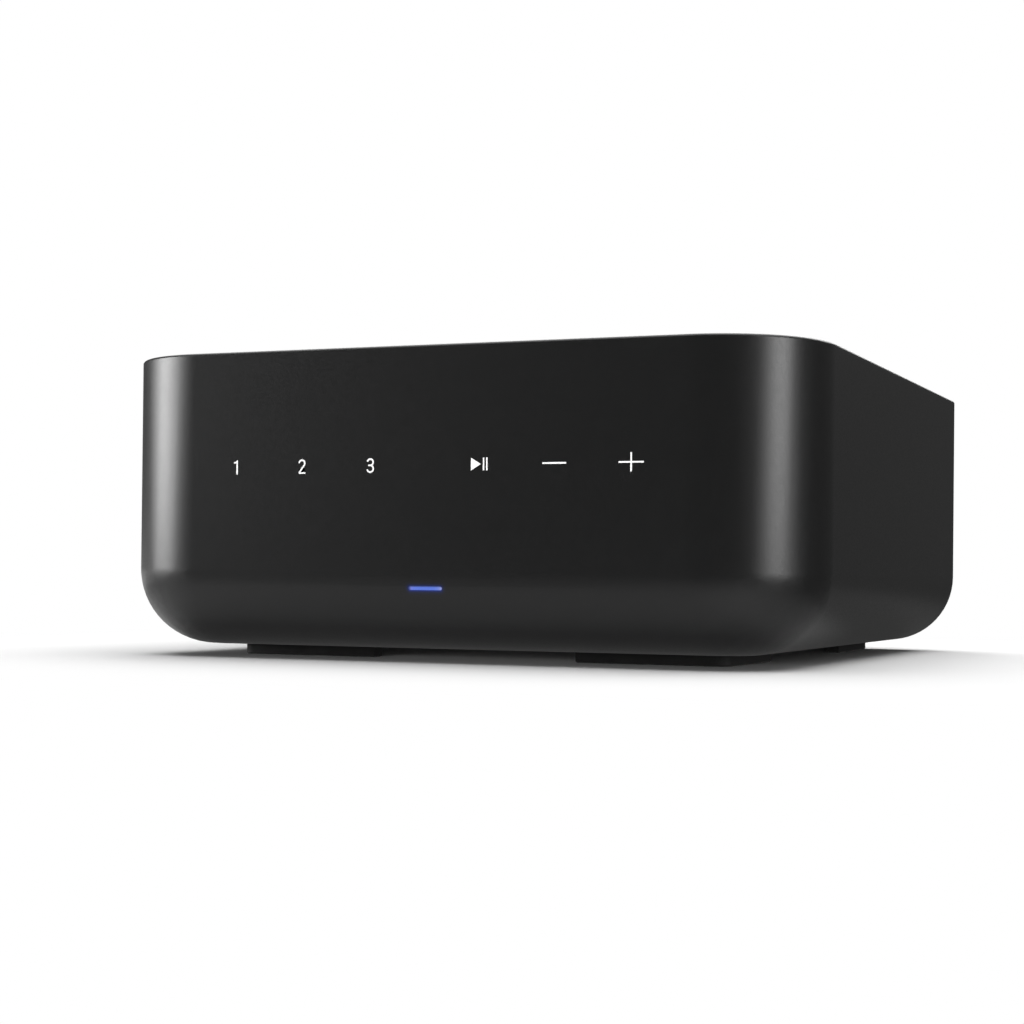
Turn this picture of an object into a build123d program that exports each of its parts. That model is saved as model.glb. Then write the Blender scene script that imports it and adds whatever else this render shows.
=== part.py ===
from build123d import *
from math import sqrt
import os

# Streaming amplifier: a moulded tub with an inset lid and rear panel, two decks of
# boards inside, and a row of sockets and speaker terminals at the back.
# Millimetres. X runs to the right, Y towards the back, Z up from the feet.

os.makedirs("parts", exist_ok=True)

# Tub
body_width = 217.0
body_depth = 220.0
overall_height = 90.0
foot_height = 3.5
corner_radius = 33.0
belly_radius = 23.0
rim_radius = 1.0
wall = 3.0
floor_thickness = 3.0
overcut = 2.0

# Lid, let into a rebate in the tub's rim
lid_thickness = 2.5
rim_wall = 1.5
lid_gap = 0.3
lid_edge_radius = 0.4
lid_tab_width = 14.0
lid_tab_drop = 6.0
lid_tab_thickness = 1.6
lid_tab_pitch = 70.0
lid_tab_start = 50.0

# Rear panel
panel_thickness = 2.0
panel_recess = 2.0
panel_gap = 0.3
cutout_gap = 0.3
panel_boss_radius = 4.5
panel_boss_length = 14.0
panel_boss_bite = 0.3
panel_boss_low = 30.0
panel_boss_top_gap = 9.5

# Screws, all of one size
screw_radius = 1.45
screw_end_gap = 0.6
screw_head_radius = 2.8
screw_head_height = 1.8
pilot_radius = 1.5
screw_hole_radius = 1.7
pilot_spare = 0.6

# Feet, each an angle that follows the corner of the underside
foot_leg = 46.0
foot_leg_width = 5.0
foot_side_inset = 30.0
foot_front_inset = 35.0
foot_rear_inset = 3.5
foot_corner_radius = 4.0
foot_inner_radius = 9.0
foot_edge = 0.4
peg_radius = 1.5
peg_clearance = 0.05
peg_end_gap = 0.3
peg_from_tip = 8.0
peg_from_corner = 5.5

# Air slots in the floor and the tray
slot_width = 2.5
slot_length = 36.0
slot_pitch = 7.0
slot_count = 13
slot_back = 106.0

# Touch board with its pads, light and light guide
key_height = 56.0
key_first = 16.8
key_pitch = 21.95
touch_standoff = 8.0
touch_board_width = 158.0
touch_board_height = 24.0
touch_tongue_width = 44.0
touch_tongue_drop = 7.0
pad_radius = 5.0
touch_post_radius = 3.0
touch_post_x = 74.0
light_height = 21.3
light_length = 10.2
light_thickness = 1.1
light_gap = 0.05
guide_flange_length = 14.0
guide_flange_height = 4.0
guide_flange_thickness = 3.0
guide_end_gap = 0.3
led_width = 3.5
led_height = 2.8
led_thickness = 1.9
light_post_x = 17.0

# Tray and the two decks
tray_boss_height = 4.0
tray_boss_radius = 3.5
tray_thickness = 1.2
tray_side_gap = 13.5
tray_front_gap = 18.0
tray_corner_radius = 12.0
tray_screw_side_inset = 22.0
tray_screw_front_inset = 9.0
tray_screw_rear_inset = 17.0
board_thickness = 1.6
board_back_gap = 1.0
board_hole_inset = 5.0
standoff_radius = 3.2
standoff_height = 6.0
deck_headroom = 37.5
power_board_width = 76.0
power_board_length = 154.0
power_board_x = -52.0
amplifier_board_width = 83.0
amplifier_board_length = 134.0
amplifier_board_x = 41.5
main_board_width = 106.0
main_board_length = 78.0
main_board_x = 41.0
deck_hole_back = 30.0

# Power supply parts
core_width = 36.0
core_depth = 14.0
core_height = 28.0
core_leg = 10.0
core_yoke = 5.5
core_back = 84.0
core_x = -61.0
winding_depth = 27.0
winding_radius = 5.0
winding_clearance = 0.1
capacitor_radius = 11.0
capacitor_height = 35.0
capacitor_round = 1.0
capacitor_x = -30.0
capacitor_pitch = 27.0
capacitor_back = 74.0
choke_radius = 10.0
choke_bore = 4.0
choke_height = 12.0
choke_round = 2.5
choke_back = 36.0
cooler_length = 60.0
cooler_height = 28.0
cooler_plate = 3.0
cooler_fin_reach = 5.0
cooler_fin_thickness = 1.5
cooler_fin_count = 7
cooler_x = -83.0
cooler_back = 84.0
fuse_radius = 2.4
fuse_cap_radius = 2.7
fuse_length = 20.0
fuse_cap_length = 5.0
fuse_x = -34.0
fuse_back = 27.0

# Amplifier parts
chip_size = 14.0
chip_height = 3.0
chip_pitch = 36.0
sink_width = 68.0
sink_length = 56.0
sink_base = 4.0
sink_top_gap = 3.7
sink_fin_thickness = 1.6
sink_fin_count = 12
sink_leg = 6.0
sink_back = 80.0
coil_size = 12.0
coil_height = 10.0
coil_radius = 2.0
coil_back = 38.0

# Main board parts
shield_size = 40.0
shield_height = 4.0
shield_wall = 0.5
shield_x = 62.0
shield_back = 52.0
radio_width = 22.0
radio_length = 18.0
radio_height = 3.0
radio_x = 12.0
radio_back = 56.0
antenna_length = 60.0
antenna_height = 10.0
antenna_thickness = 0.8
antenna_drop = 17.5
antenna_back = 90.0
lead_radius = 0.6
lead_bend = 5.0
ribbon_thickness = 0.4
ribbon_width = 12.0
ribbon_x = 20.0
ribbon_lap = 6.0
ribbon_exit = 10.0
ribbon_fall = 60.0
ribbon_sag = 1.0
ribbon_hump = 3.0
signal_ribbon_width = 30.0
signal_ribbon_back = 46.0
wire_radius = 1.0
wire_rise = 10.0
wire_bend = 4.0
wire_pitch = 3.0
wire_count = 3
wire_back = 46.0
wire_inset = 2.5

# Speaker terminals
terminal_pitch = 19.05
terminal_pair_pitch = 42.0
terminal_x = 42.5
terminal_z = 33.0
post_radius = 3.4
post_bore_radius = 2.05
post_bore_depth = 12.2
post_end_gap = 0.3
wire_hole_radius = 1.4
wire_hole_reach = 1.9
running_clearance = 0.05
bush_radius = 7.0
bush_flange = 2.5
bush_collar_radius = 5.0
collar_end_gap = 0.2
insulator_thickness = 1.5
tag_thickness = 0.8
tag_radius = 5.0
tag_width = 4.0
nut_thickness = 3.0
nut_flats = 10.0
post_tail = 1.7
washer_radius = 5.6
washer_thickness = 1.0
cap_length = 17.5
cap_radius = 6.6
cap_end_wall = 2.0
cap_bore_radius = 2.3
cap_round = 0.8
cap_flute_count = 12
cap_flute_radius = 1.0
cap_flute_depth = 0.4
cap_band = 3.0

# Mains inlet
inlet_x = -66.0
inlet_width = 27.0
inlet_height = 20.0
inlet_depth = 22.0
inlet_pocket_width = 24.2
inlet_pocket_height = 16.0
inlet_pocket_depth = 16.0
inlet_pocket_chamfer = 4.5
blade_width = 2.0
blade_height = 4.0
blade_length = 12.5
blade_pitch = 14.0
earth_blade_rise = 4.0
blade_drop = 1.5
socket_proud = 0.5

# Upper row of sockets, standing on the main board
network_x = 84.0
network_width = 16.0
network_height = 13.6
network_depth = 21.0
network_mouth_width = 11.8
network_mouth_height = 7.2
network_mouth_depth = 13.0
network_sill = 3.4
network_latch_width = 6.2
network_latch_drop = 1.8
usb_x = 65.5
usb_width = 13.2
usb_height = 5.8
usb_depth = 14.0
usb_shell = 0.3
usb_back = 2.0
usb_tongue_width = 11.2
usb_tongue_thickness = 1.8
usb_tongue_length = 9.5
usb_tongue_rise = 0.9
hdmi_x = 48.5
hdmi_width = 15.0
hdmi_height = 5.8
hdmi_depth = 12.0
hdmi_shell = 0.3
hdmi_back = 2.0
hdmi_chamfer = 1.6
hdmi_tongue_width = 10.4
hdmi_tongue_thickness = 1.0
hdmi_tongue_length = 7.5
optical_x = 34.0
optical_width = 10.8
optical_height = 12.0
optical_depth = 13.5
optical_mouth_width = 8.6
optical_mouth_height = 9.4
optical_mouth_depth = 10.5
optical_sill = 1.3
shutter_inset = 0.5
shutter_thickness = 0.8
shutter_barrel_radius = 0.7
shutter_gap = 0.2
shutter_pin_radius = 0.45
shutter_pin_length = 0.8
rca_x = 3.0
rca_pitch = 14.0
rca_block_depth = 20.0
rca_shell_radius = 4.15
rca_shell_wall = 0.5
rca_shell_reach = 9.0
rca_shell_gap = 0.9
rca_insert_clearance = 0.05
rca_insert_setback = 1.0
rca_pin_radius = 1.6
rca_pin_depth = 8.0
button_x = 24.0
button_rise = 4.0
button_radius = 1.75
button_hole_gap = 0.35
button_proud = 0.8
button_collar_radius = 2.5
button_collar_thickness = 0.8
button_collar_gap = 0.2
button_travel = 0.5
button_stop_gap = 0.3
switch_size = 6.0
switch_depth = 5.0
switch_bore_depth = 3.0
button_engagement = 1.5
panel_slot_width = 2.2
panel_slot_length = 26.0
panel_slot_pitch = 5.5
panel_slot_count = 12
panel_slot_x = -60.0
panel_slot_drop = 21.5

# Levels and faces that the pieces share
screw_length = board_thickness + standoff_height - screw_end_gap
terminal_reach = bush_flange + washer_thickness + cap_length
overall_depth = body_depth + terminal_reach - panel_recess
front_y = -overall_depth / 2
rear_y = front_y + body_depth
panel_y = rear_y - panel_recess
panel_inner_y = panel_y - panel_thickness
inner_front_y = front_y + wall
inner_x = body_width / 2 - wall
floor_z = foot_height + floor_thickness
lid_z = overall_height - lid_thickness
inner_belly_radius = belly_radius - wall
tray_z = floor_z + tray_boss_height
tray_top = tray_z + tray_thickness
board_z = tray_top + standoff_height
board_top = board_z + board_thickness
deck_z = lid_z - deck_headroom
deck_height = deck_z - tray_top
deck_top = deck_z + board_thickness
board_back_y = panel_inner_y - board_back_gap
tray_width = 2 * (inner_x - tray_side_gap)
tray_front_y = inner_front_y + tray_front_gap
touch_board_y = inner_front_y + touch_standoff
guide_back_y = inner_front_y + guide_flange_thickness
led_face_y = touch_board_y - led_thickness
panel_boss_x = inner_x - panel_boss_radius + panel_boss_bite
washer_y = panel_y + bush_flange
cap_y = washer_y + washer_thickness
post_end_y = cap_y + cap_length - cap_end_wall - post_end_gap

# Places of repeated pieces
key_places = [side * (key_first + n * key_pitch) for side in (-1, 1) for n in range(3)]
terminal_places = [
    terminal_x + pair * terminal_pair_pitch / 2 + pole * terminal_pitch / 2
    for pair in (-1, 1)
    for pole in (-1, 1)
]
rca_z = deck_top + rca_pitch
rca_places = [
    (rca_x + side * rca_pitch / 2, rca_z + level * rca_pitch / 2)
    for side in (-1, 1)
    for level in (-1, 1)
]
panel_boss_places = [
    (side * panel_boss_x, height)
    for side in (-1, 1)
    for height in (panel_boss_low, lid_z - panel_boss_top_gap)
]
touch_post_places = [(side * touch_post_x, key_height) for side in (-1, 1)] + [
    (side * light_post_x, light_height) for side in (-1, 1)
]
tray_front_screw_y = tray_front_y + tray_screw_front_inset
tray_rear_screw_y = board_back_y - tray_screw_rear_inset
tray_screw_places = [
    (side * (tray_width / 2 - tray_screw_side_inset), y)
    for side in (-1, 1)
    for y in (
        tray_front_screw_y,
        (tray_front_screw_y + tray_rear_screw_y) / 2,
        tray_rear_screw_y,
    )
]


def board_holes(centre_x, width, length, back_inset):
    """Screw places near the four corners of a board that ends at the rear panel."""
    reach = width / 2 - board_hole_inset
    back = board_back_y - back_inset
    front = board_back_y - length + board_hole_inset
    return [(centre_x + side * reach, y) for side in (-1, 1) for y in (front, back)]


power_holes = board_holes(
    power_board_x, power_board_width, power_board_length, board_hole_inset
)
amplifier_holes = board_holes(
    amplifier_board_x, amplifier_board_width, amplifier_board_length, board_hole_inset
)
main_holes = board_holes(
    main_board_x, main_board_width, main_board_length, deck_hole_back
)


def across(y):
    """An upright plane across the body. It extrudes towards the front."""
    return Plane.XZ.offset(-y)


def level(z):
    """A level plane. It extrudes upwards."""
    return Plane.XY.offset(z)


def body_plan(inset, back_y):
    """The body's plan, square at the back and rounded in front, drawn within its outer face."""
    width = body_width - 2 * inset
    depth = back_y - front_y - inset
    with Locations((0, back_y - depth / 2)):
        Rectangle(width, depth)
    fillet(vertices().group_by(Axis.Y)[0], corner_radius - inset)


def air_slots():
    """The row of air slots that the floor and the tray share."""
    with Locations((0, rear_y - slot_back)):
        with GridLocations(slot_pitch, 0, slot_count, 1):
            SlotOverall(slot_length, slot_width, rotation=90)


def finish(builder, name):
    """Labels a finished piece and writes it."""
    builder.part.label = name
    export_step(builder.part, f"parts/{name}.step")


# Feet, placed by the corner that each one follows
foot_x = body_width / 2 - foot_side_inset
foot_front_y = front_y + foot_front_inset
foot_rear_y = rear_y - foot_rear_inset
foot_planes = {
    "foot_front_left": Plane((-foot_x, foot_front_y, 0), x_dir=(1, 0, 0)),
    "foot_front_right": Plane((foot_x, foot_front_y, 0), x_dir=(0, 1, 0)),
    "foot_rear_right": Plane((foot_x, foot_rear_y, 0), x_dir=(-1, 0, 0)),
    "foot_rear_left": Plane((-foot_x, foot_rear_y, 0), x_dir=(0, -1, 0)),
}
peg_places = [
    (peg_from_corner, peg_from_corner),
    (foot_leg - peg_from_tip, foot_leg_width / 2),
    (foot_leg_width / 2, foot_leg - peg_from_tip),
]

for foot_name, foot_plane in foot_planes.items():
    with BuildPart() as foot:
        with BuildSketch(foot_plane):
            with BuildLine():
                Polyline(
                    (0, 0),
                    (foot_leg, 0),
                    (foot_leg, foot_leg_width),
                    (foot_leg_width, foot_leg_width),
                    (foot_leg_width, foot_leg),
                    (0, foot_leg),
                    close=True,
                )
            make_face()
            fillet(vertices().sort_by_distance((0, 0))[0], foot_corner_radius)
            inner_corner = (foot_leg_width, foot_leg_width)
            fillet(vertices().sort_by_distance(inner_corner)[0], foot_inner_radius)
        extrude(amount=foot_height)
        chamfer(edges().group_by(Axis.Z)[0], foot_edge)
        with BuildSketch(foot_plane.offset(foot_height)):
            with Locations(*peg_places):
                Circle(peg_radius)
        extrude(amount=floor_thickness - peg_end_gap)
    finish(foot, foot_name)

# The hollow of the tub, open at the top and the back
rear_edge = rear_y - overcut
with BuildPart() as cavity:
    with BuildSketch(level(floor_z)):
        body_plan(wall, rear_y + overcut)
    extrude(amount=overall_height)
    fillet(
        edges().group_by(Axis.Z)[0].filter_by(lambda e: e.center().Y < rear_edge),
        inner_belly_radius,
    )

# The outer form: large rounds run into each other at the two front corners
with BuildPart() as outer_form:
    with BuildSketch(level(foot_height)):
        body_plan(0, rear_y)
    extrude(amount=overall_height - foot_height)
    fillet(
        edges().group_by(Axis.Z)[0].filter_by(lambda e: e.center().Y < rear_edge),
        belly_radius,
    )
    fillet(
        edges().group_by(Axis.Z)[-1].filter_by(lambda e: e.center().Y < rear_edge),
        rim_radius,
    )

# The tub: the hollow and the lid's rebate, then bosses and holes
with BuildPart() as housing:
    add(outer_form.part)
    add(cavity.part, mode=Mode.SUBTRACT)
    with BuildSketch(level(lid_z)):
        body_plan(rim_wall, rear_y + overcut)
    extrude(amount=overall_height, mode=Mode.SUBTRACT)
    with BuildSketch(level(floor_z)):
        with Locations(*tray_screw_places):
            Circle(tray_boss_radius)
    extrude(amount=tray_boss_height)
    with BuildSketch(across(panel_inner_y)):
        with Locations(*panel_boss_places):
            Circle(panel_boss_radius)
    extrude(amount=panel_boss_length)
    with BuildSketch(across(touch_board_y)):
        with Locations(*touch_post_places):
            Circle(touch_post_radius)
    extrude(until=Until.NEXT)
    pilot_depth = screw_length - tray_thickness + pilot_spare
    with BuildSketch(level(tray_z)):
        with Locations(*tray_screw_places):
            Circle(pilot_radius)
    extrude(amount=-pilot_depth, mode=Mode.SUBTRACT)
    with BuildSketch(across(panel_inner_y)):
        with Locations(*panel_boss_places):
            Circle(pilot_radius)
    extrude(amount=screw_length, mode=Mode.SUBTRACT)
    with BuildSketch(across(touch_board_y)):
        with Locations(*touch_post_places):
            Circle(pilot_radius)
    extrude(amount=screw_length, mode=Mode.SUBTRACT)
    with BuildSketch(across(guide_back_y)):
        with Locations((0, light_height)):
            SlotOverall(light_length + 2 * light_gap, light_thickness + 2 * light_gap)
    extrude(amount=guide_back_y - front_y, mode=Mode.SUBTRACT)
    for foot_plane in foot_planes.values():
        with BuildSketch(foot_plane.offset(foot_height)):
            with Locations(*peg_places):
                Circle(peg_radius + peg_clearance)
        extrude(amount=floor_thickness, mode=Mode.SUBTRACT)
    with BuildSketch(level(foot_height)):
        air_slots()
    extrude(amount=floor_thickness, mode=Mode.SUBTRACT)
finish(housing, "housing")

# The lid drops into the rebate and is held by tabs inside the side walls
with BuildPart() as lid:
    with BuildSketch(level(lid_z)):
        body_plan(rim_wall + lid_gap, rear_y)
    extrude(amount=lid_thickness)
    fillet(edges().group_by(Axis.Z)[-1], lid_edge_radius)
    tab_x = inner_x - lid_gap - lid_tab_thickness / 2
    with BuildSketch(level(lid_z)):
        with Locations((0, rear_y - lid_tab_start - lid_tab_pitch / 2)):
            with GridLocations(2 * tab_x, lid_tab_pitch, 2, 2):
                Rectangle(lid_tab_thickness, lid_tab_width)
    extrude(amount=-lid_tab_drop)
finish(lid, "lid")

# Rear panel, pierced for every socket
panel_cutouts = [
    (inlet_x, board_top, inlet_width, inlet_height),
    (network_x, deck_top, network_width, network_height),
    (usb_x, deck_top, usb_width, usb_height),
    (hdmi_x, deck_top, hdmi_width, hdmi_height),
    (optical_x, deck_top, optical_width, optical_height),
]
button_z = deck_top + button_rise

with BuildPart() as rear_panel:
    panel_low = floor_z + panel_gap
    panel_height = lid_z - panel_low
    with BuildSketch(across(panel_y)):
        with Locations((0, panel_low + panel_height / 2)):
            Rectangle(2 * (inner_x - panel_gap), panel_height)
        fillet(vertices().group_by(Axis.Y)[0], inner_belly_radius - panel_gap)
    extrude(amount=panel_thickness)
    with BuildSketch(across(panel_y)):
        for x, bottom, width, height in panel_cutouts:
            with Locations((x, bottom + height / 2)):
                Rectangle(width + 2 * cutout_gap, height + 2 * cutout_gap)
        with Locations(*rca_places):
            Circle(rca_shell_radius + rca_shell_gap)
        with Locations((button_x, button_z)):
            Circle(button_radius + button_hole_gap)
        with Locations(*[(x, terminal_z) for x in terminal_places]):
            Circle(bush_collar_radius + running_clearance)
        with Locations(*panel_boss_places):
            Circle(screw_hole_radius)
        with Locations((panel_slot_x, lid_z - panel_slot_drop)):
            with GridLocations(panel_slot_pitch, 0, panel_slot_count, 1):
                SlotOverall(panel_slot_length, panel_slot_width, rotation=90)
    extrude(amount=panel_thickness, mode=Mode.SUBTRACT)
finish(rear_panel, "rear_panel")

# Light guide: a flange that follows the wall's curve inside, a short pipe back to the
# light, and a bar through the wall that ends flush with the curve outside
with BuildPart() as light_guide:
    with BuildSketch(across(guide_back_y)):
        with Locations((0, light_height)):
            Rectangle(guide_flange_length, guide_flange_height)
    extrude(amount=guide_flange_thickness)
    add(cavity.part, mode=Mode.INTERSECT)
    with BuildSketch(across(led_face_y - guide_end_gap)):
        with Locations((0, light_height)):
            Rectangle(light_length, led_height)
    extrude(amount=led_face_y - guide_end_gap - guide_back_y)
    with BuildSketch(across(guide_back_y)):
        with Locations((0, light_height)):
            SlotOverall(light_length, light_thickness)
    extrude(amount=guide_back_y - front_y)
    add(outer_form.part, mode=Mode.INTERSECT)
finish(light_guide, "light_guide")

with BuildPart() as status_light:
    with BuildSketch(across(touch_board_y)):
        with Locations((0, light_height)):
            Rectangle(led_width, led_height)
    extrude(amount=led_thickness)
finish(status_light, "status_light")

# Touch board: a strip behind the keys with a tongue down to the light
with BuildPart() as touch_board:
    touch_back_y = touch_board_y + board_thickness
    tongue_low = light_height - touch_tongue_drop
    with BuildSketch(across(touch_back_y)):
        with Locations((0, key_height)):
            Rectangle(touch_board_width, touch_board_height)
        with Locations((0, (key_height + tongue_low) / 2)):
            Rectangle(touch_tongue_width, key_height - tongue_low)
        with Locations(*touch_post_places):
            Circle(screw_hole_radius, mode=Mode.SUBTRACT)
    extrude(amount=board_thickness)
finish(touch_board, "touch_board")

with BuildPart() as touch_pads:
    with BuildSketch(across(touch_board_y)):
        with Locations(*[(x, key_height) for x in key_places]):
            Circle(pad_radius)
    extrude(amount=touch_standoff)
finish(touch_pads, "touch_pads")

# Tray, screwed to the floor bosses
with BuildPart() as tray:
    tray_length = board_back_y - tray_front_y
    with BuildSketch(level(tray_z)):
        with Locations((0, board_back_y - tray_length / 2)):
            RectangleRounded(tray_width, tray_length, tray_corner_radius)
        with Locations(*tray_screw_places):
            Circle(screw_hole_radius, mode=Mode.SUBTRACT)
    extrude(amount=tray_thickness)
    with BuildSketch(level(tray_z)):
        air_slots()
    extrude(amount=tray_thickness, mode=Mode.SUBTRACT)
finish(tray, "tray")


def standoffs(places, height, tapped):
    """Hexagonal spacers on the tray, tapped from above to this depth."""
    with BuildPart() as spacers:
        with BuildSketch(level(tray_top)):
            with Locations(*places):
                RegularPolygon(standoff_radius, 6)
        extrude(amount=height)
        with BuildSketch(level(tray_top + height)):
            with Locations(*places):
                Circle(pilot_radius)
        extrude(amount=-tapped, mode=Mode.SUBTRACT)
    return spacers


short_holes = power_holes + amplifier_holes
short_standoffs = standoffs(short_holes, standoff_height, standoff_height)
finish(short_standoffs, "short_standoffs")

tall_standoffs = standoffs(main_holes, deck_height, screw_length)
finish(tall_standoffs, "tall_standoffs")


def screws(plane, places):
    """Pan-head screws with their heads on the plane and their shanks behind it."""
    with BuildPart() as fasteners:
        with BuildSketch(plane):
            with Locations(*places):
                Circle(screw_head_radius)
        extrude(amount=screw_head_height)
        with BuildSketch(plane):
            with Locations(*places):
                Circle(screw_radius)
        extrude(amount=-screw_length)
    return fasteners.part


def from_behind(y):
    """An upright plane across the body that looks the other way. It extrudes to the rear."""
    return Plane((0, y, 0), x_dir=(1, 0, 0), z_dir=(0, 1, 0))


def turned(places):
    """Places on an across plane, written for a from_behind plane."""
    return [(x, -z) for x, z in places]


with BuildPart() as tray_screws:
    add(screws(level(tray_top), tray_screw_places))
finish(tray_screws, "tray_screws")

with BuildPart() as board_screws:
    add(screws(level(board_top), short_holes))
    add(screws(level(deck_top), main_holes))
    add(screws(from_behind(touch_back_y), turned(touch_post_places)))
finish(board_screws, "board_screws")

with BuildPart() as panel_screws:
    add(screws(from_behind(panel_y), turned(panel_boss_places)))
finish(panel_screws, "panel_screws")


def board(z, centre_x, width, length, holes):
    """A circuit board that ends at the rear panel, with a hole near each corner."""
    with BuildPart() as sheet:
        with BuildSketch(level(z)):
            with Locations((centre_x, board_back_y - length / 2)):
                Rectangle(width, length)
            with Locations(*holes):
                Circle(screw_hole_radius, mode=Mode.SUBTRACT)
        extrude(amount=board_thickness)
    return sheet


power_board = board(
    board_z, power_board_x, power_board_width, power_board_length, power_holes
)
finish(power_board, "power_board")

amplifier_board = board(
    board_z,
    amplifier_board_x,
    amplifier_board_width,
    amplifier_board_length,
    amplifier_holes,
)
finish(amplifier_board, "amplifier_board")

main_board = board(deck_z, main_board_x, main_board_width, main_board_length, main_holes)
finish(main_board, "main_board")

# Transformer: a double-window core and the winding round its middle leg
core_y = board_back_y - core_back
core_z = board_top + core_height / 2
window_width = (core_width - core_leg) / 2 - core_yoke
window_height = core_height - 2 * core_yoke
with BuildPart() as transformer_core:
    with BuildSketch(across(core_y + core_depth / 2)):
        with Locations((core_x, core_z)):
            Rectangle(core_width, core_height)
            with GridLocations(core_leg + window_width, 0, 2, 1):
                Rectangle(window_width, window_height, mode=Mode.SUBTRACT)
    extrude(amount=core_depth)
finish(transformer_core, "transformer_core")

with BuildPart() as transformer_winding:
    winding_height = window_height - 2 * winding_clearance
    winding_width = core_leg + 2 * (window_width - winding_clearance)
    with BuildSketch(level(core_z - winding_height / 2)):
        with Locations((core_x, core_y)):
            RectangleRounded(winding_width, winding_depth, winding_radius)
            Rectangle(
                core_leg + 2 * winding_clearance,
                core_depth + 2 * winding_clearance,
                mode=Mode.SUBTRACT,
            )
    extrude(amount=winding_height)
finish(transformer_winding, "transformer_winding")

with BuildPart() as bulk_capacitors:
    with BuildSketch(level(board_top)):
        with Locations((capacitor_x, board_back_y - capacitor_back)):
            with GridLocations(0, capacitor_pitch, 1, 2):
                Circle(capacitor_radius)
    extrude(amount=capacitor_height)
    fillet(edges().group_by(Axis.Z)[-1], capacitor_round)
finish(bulk_capacitors, "bulk_capacitors")

with BuildPart() as filter_choke:
    with BuildSketch(level(board_top)):
        with Locations((inlet_x, board_back_y - choke_back)):
            Circle(choke_radius)
            Circle(choke_bore, mode=Mode.SUBTRACT)
    extrude(amount=choke_height)
    fillet(edges().filter_by(GeomType.CIRCLE), choke_round)
finish(filter_choke, "filter_choke")

with BuildPart() as power_cooler:
    cooler_fin_pitch = (cooler_length - cooler_fin_thickness) / (cooler_fin_count - 1)
    with BuildSketch(level(board_top)):
        with Locations((cooler_x, board_back_y - cooler_back)):
            Rectangle(cooler_plate, cooler_length)
            with Locations((-(cooler_plate + cooler_fin_reach) / 2, 0)):
                with GridLocations(0, cooler_fin_pitch, 1, cooler_fin_count):
                    Rectangle(cooler_fin_reach, cooler_fin_thickness)
    extrude(amount=cooler_height)
finish(power_cooler, "power_cooler")

with BuildPart() as fuse:
    fuse_y = board_back_y - fuse_back
    with BuildSketch(across(fuse_y)):
        with Locations((fuse_x, board_top + fuse_cap_radius)):
            Circle(fuse_radius)
    extrude(amount=fuse_length)
    for cap_end_y in (fuse_y, fuse_y - fuse_length + fuse_cap_length):
        with BuildSketch(across(cap_end_y)):
            with Locations((fuse_x, board_top + fuse_cap_radius)):
                Circle(fuse_cap_radius)
        extrude(amount=fuse_cap_length)
finish(fuse, "fuse")

# Amplifier chips under a finned heat sink
sink_y = board_back_y - sink_back
with BuildPart() as amplifier_chips:
    with BuildSketch(level(board_top)):
        with Locations((amplifier_board_x, sink_y)):
            with GridLocations(chip_pitch, 0, 2, 1):
                Rectangle(chip_size, chip_size)
    extrude(amount=chip_height)
finish(amplifier_chips, "amplifier_chips")

with BuildPart() as heat_sink:
    sink_z = board_top + chip_height
    sink_fin_height = deck_z - sink_top_gap - sink_z - sink_base
    sink_fin_pitch = (sink_width - sink_fin_thickness) / (sink_fin_count - 1)
    sink_leg_pitch = sink_length - sink_leg
    with BuildSketch(level(sink_z)):
        with Locations((amplifier_board_x, sink_y)):
            Rectangle(sink_width, sink_length)
    extrude(amount=sink_base)
    with BuildSketch(level(sink_z + sink_base)):
        with Locations((amplifier_board_x, sink_y)):
            with GridLocations(sink_fin_pitch, 0, sink_fin_count, 1):
                Rectangle(sink_fin_thickness, sink_length)
    extrude(amount=sink_fin_height)
    with BuildSketch(level(board_top)):
        with Locations((amplifier_board_x, sink_y)):
            with GridLocations(sink_width - sink_leg, sink_leg_pitch, 2, 2):
                Rectangle(sink_leg, sink_leg)
    extrude(amount=chip_height)
finish(heat_sink, "heat_sink")

with BuildPart() as output_coils:
    with BuildSketch(level(board_top)):
        with Locations(*[(x, board_back_y - coil_back) for x in terminal_places]):
            RectangleRounded(coil_size, coil_size, coil_radius)
    extrude(amount=coil_height)
finish(output_coils, "output_coils")

# Shield can over the processor, open underneath
with BuildPart() as shield_can:
    with BuildSketch(level(deck_top)):
        with Locations((shield_x, board_back_y - shield_back)):
            Rectangle(shield_size, shield_size)
    extrude(amount=shield_height)
    with BuildSketch(level(deck_top)):
        with Locations((shield_x, board_back_y - shield_back)):
            Rectangle(shield_size - 2 * shield_wall, shield_size - 2 * shield_wall)
    extrude(amount=shield_height - shield_wall, mode=Mode.SUBTRACT)
finish(shield_can, "shield_can")

radio_y = board_back_y - radio_back
radio_top = deck_top + radio_height
with BuildPart() as radio_module:
    with BuildSketch(level(deck_top)):
        with Locations((radio_x, radio_y)):
            Rectangle(radio_width, radio_length)
    extrude(amount=radio_height)
finish(radio_module, "radio_module")

# Aerials, flat on the inside of the side walls, each with its lead from the radio
antenna_y = board_back_y - antenna_back
antenna_z = lid_z - antenna_drop
with BuildPart() as antennas:
    with BuildSketch(level(antenna_z - antenna_height / 2)):
        with Locations((0, antenna_y)):
            with GridLocations(2 * inner_x - antenna_thickness, 0, 2, 1):
                Rectangle(antenna_thickness, antenna_length)
    extrude(amount=antenna_height)
finish(antennas, "antennas")

with BuildPart() as antenna_leads:
    for side in (-1, 1):
        lead_x = radio_x + side * radio_width / 4
        with BuildLine() as lead_route:
            FilletPolyline(
                (lead_x, radio_y, radio_top),
                (lead_x, radio_y, antenna_z),
                (side * (inner_x - antenna_thickness), radio_y, antenna_z),
                radius=lead_bend,
            )
        with BuildSketch(Plane((lead_x, radio_y, radio_top), z_dir=(0, 0, 1))):
            Circle(lead_radius)
        sweep(path=lead_route.line)
finish(antenna_leads, "antenna_leads")

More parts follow.
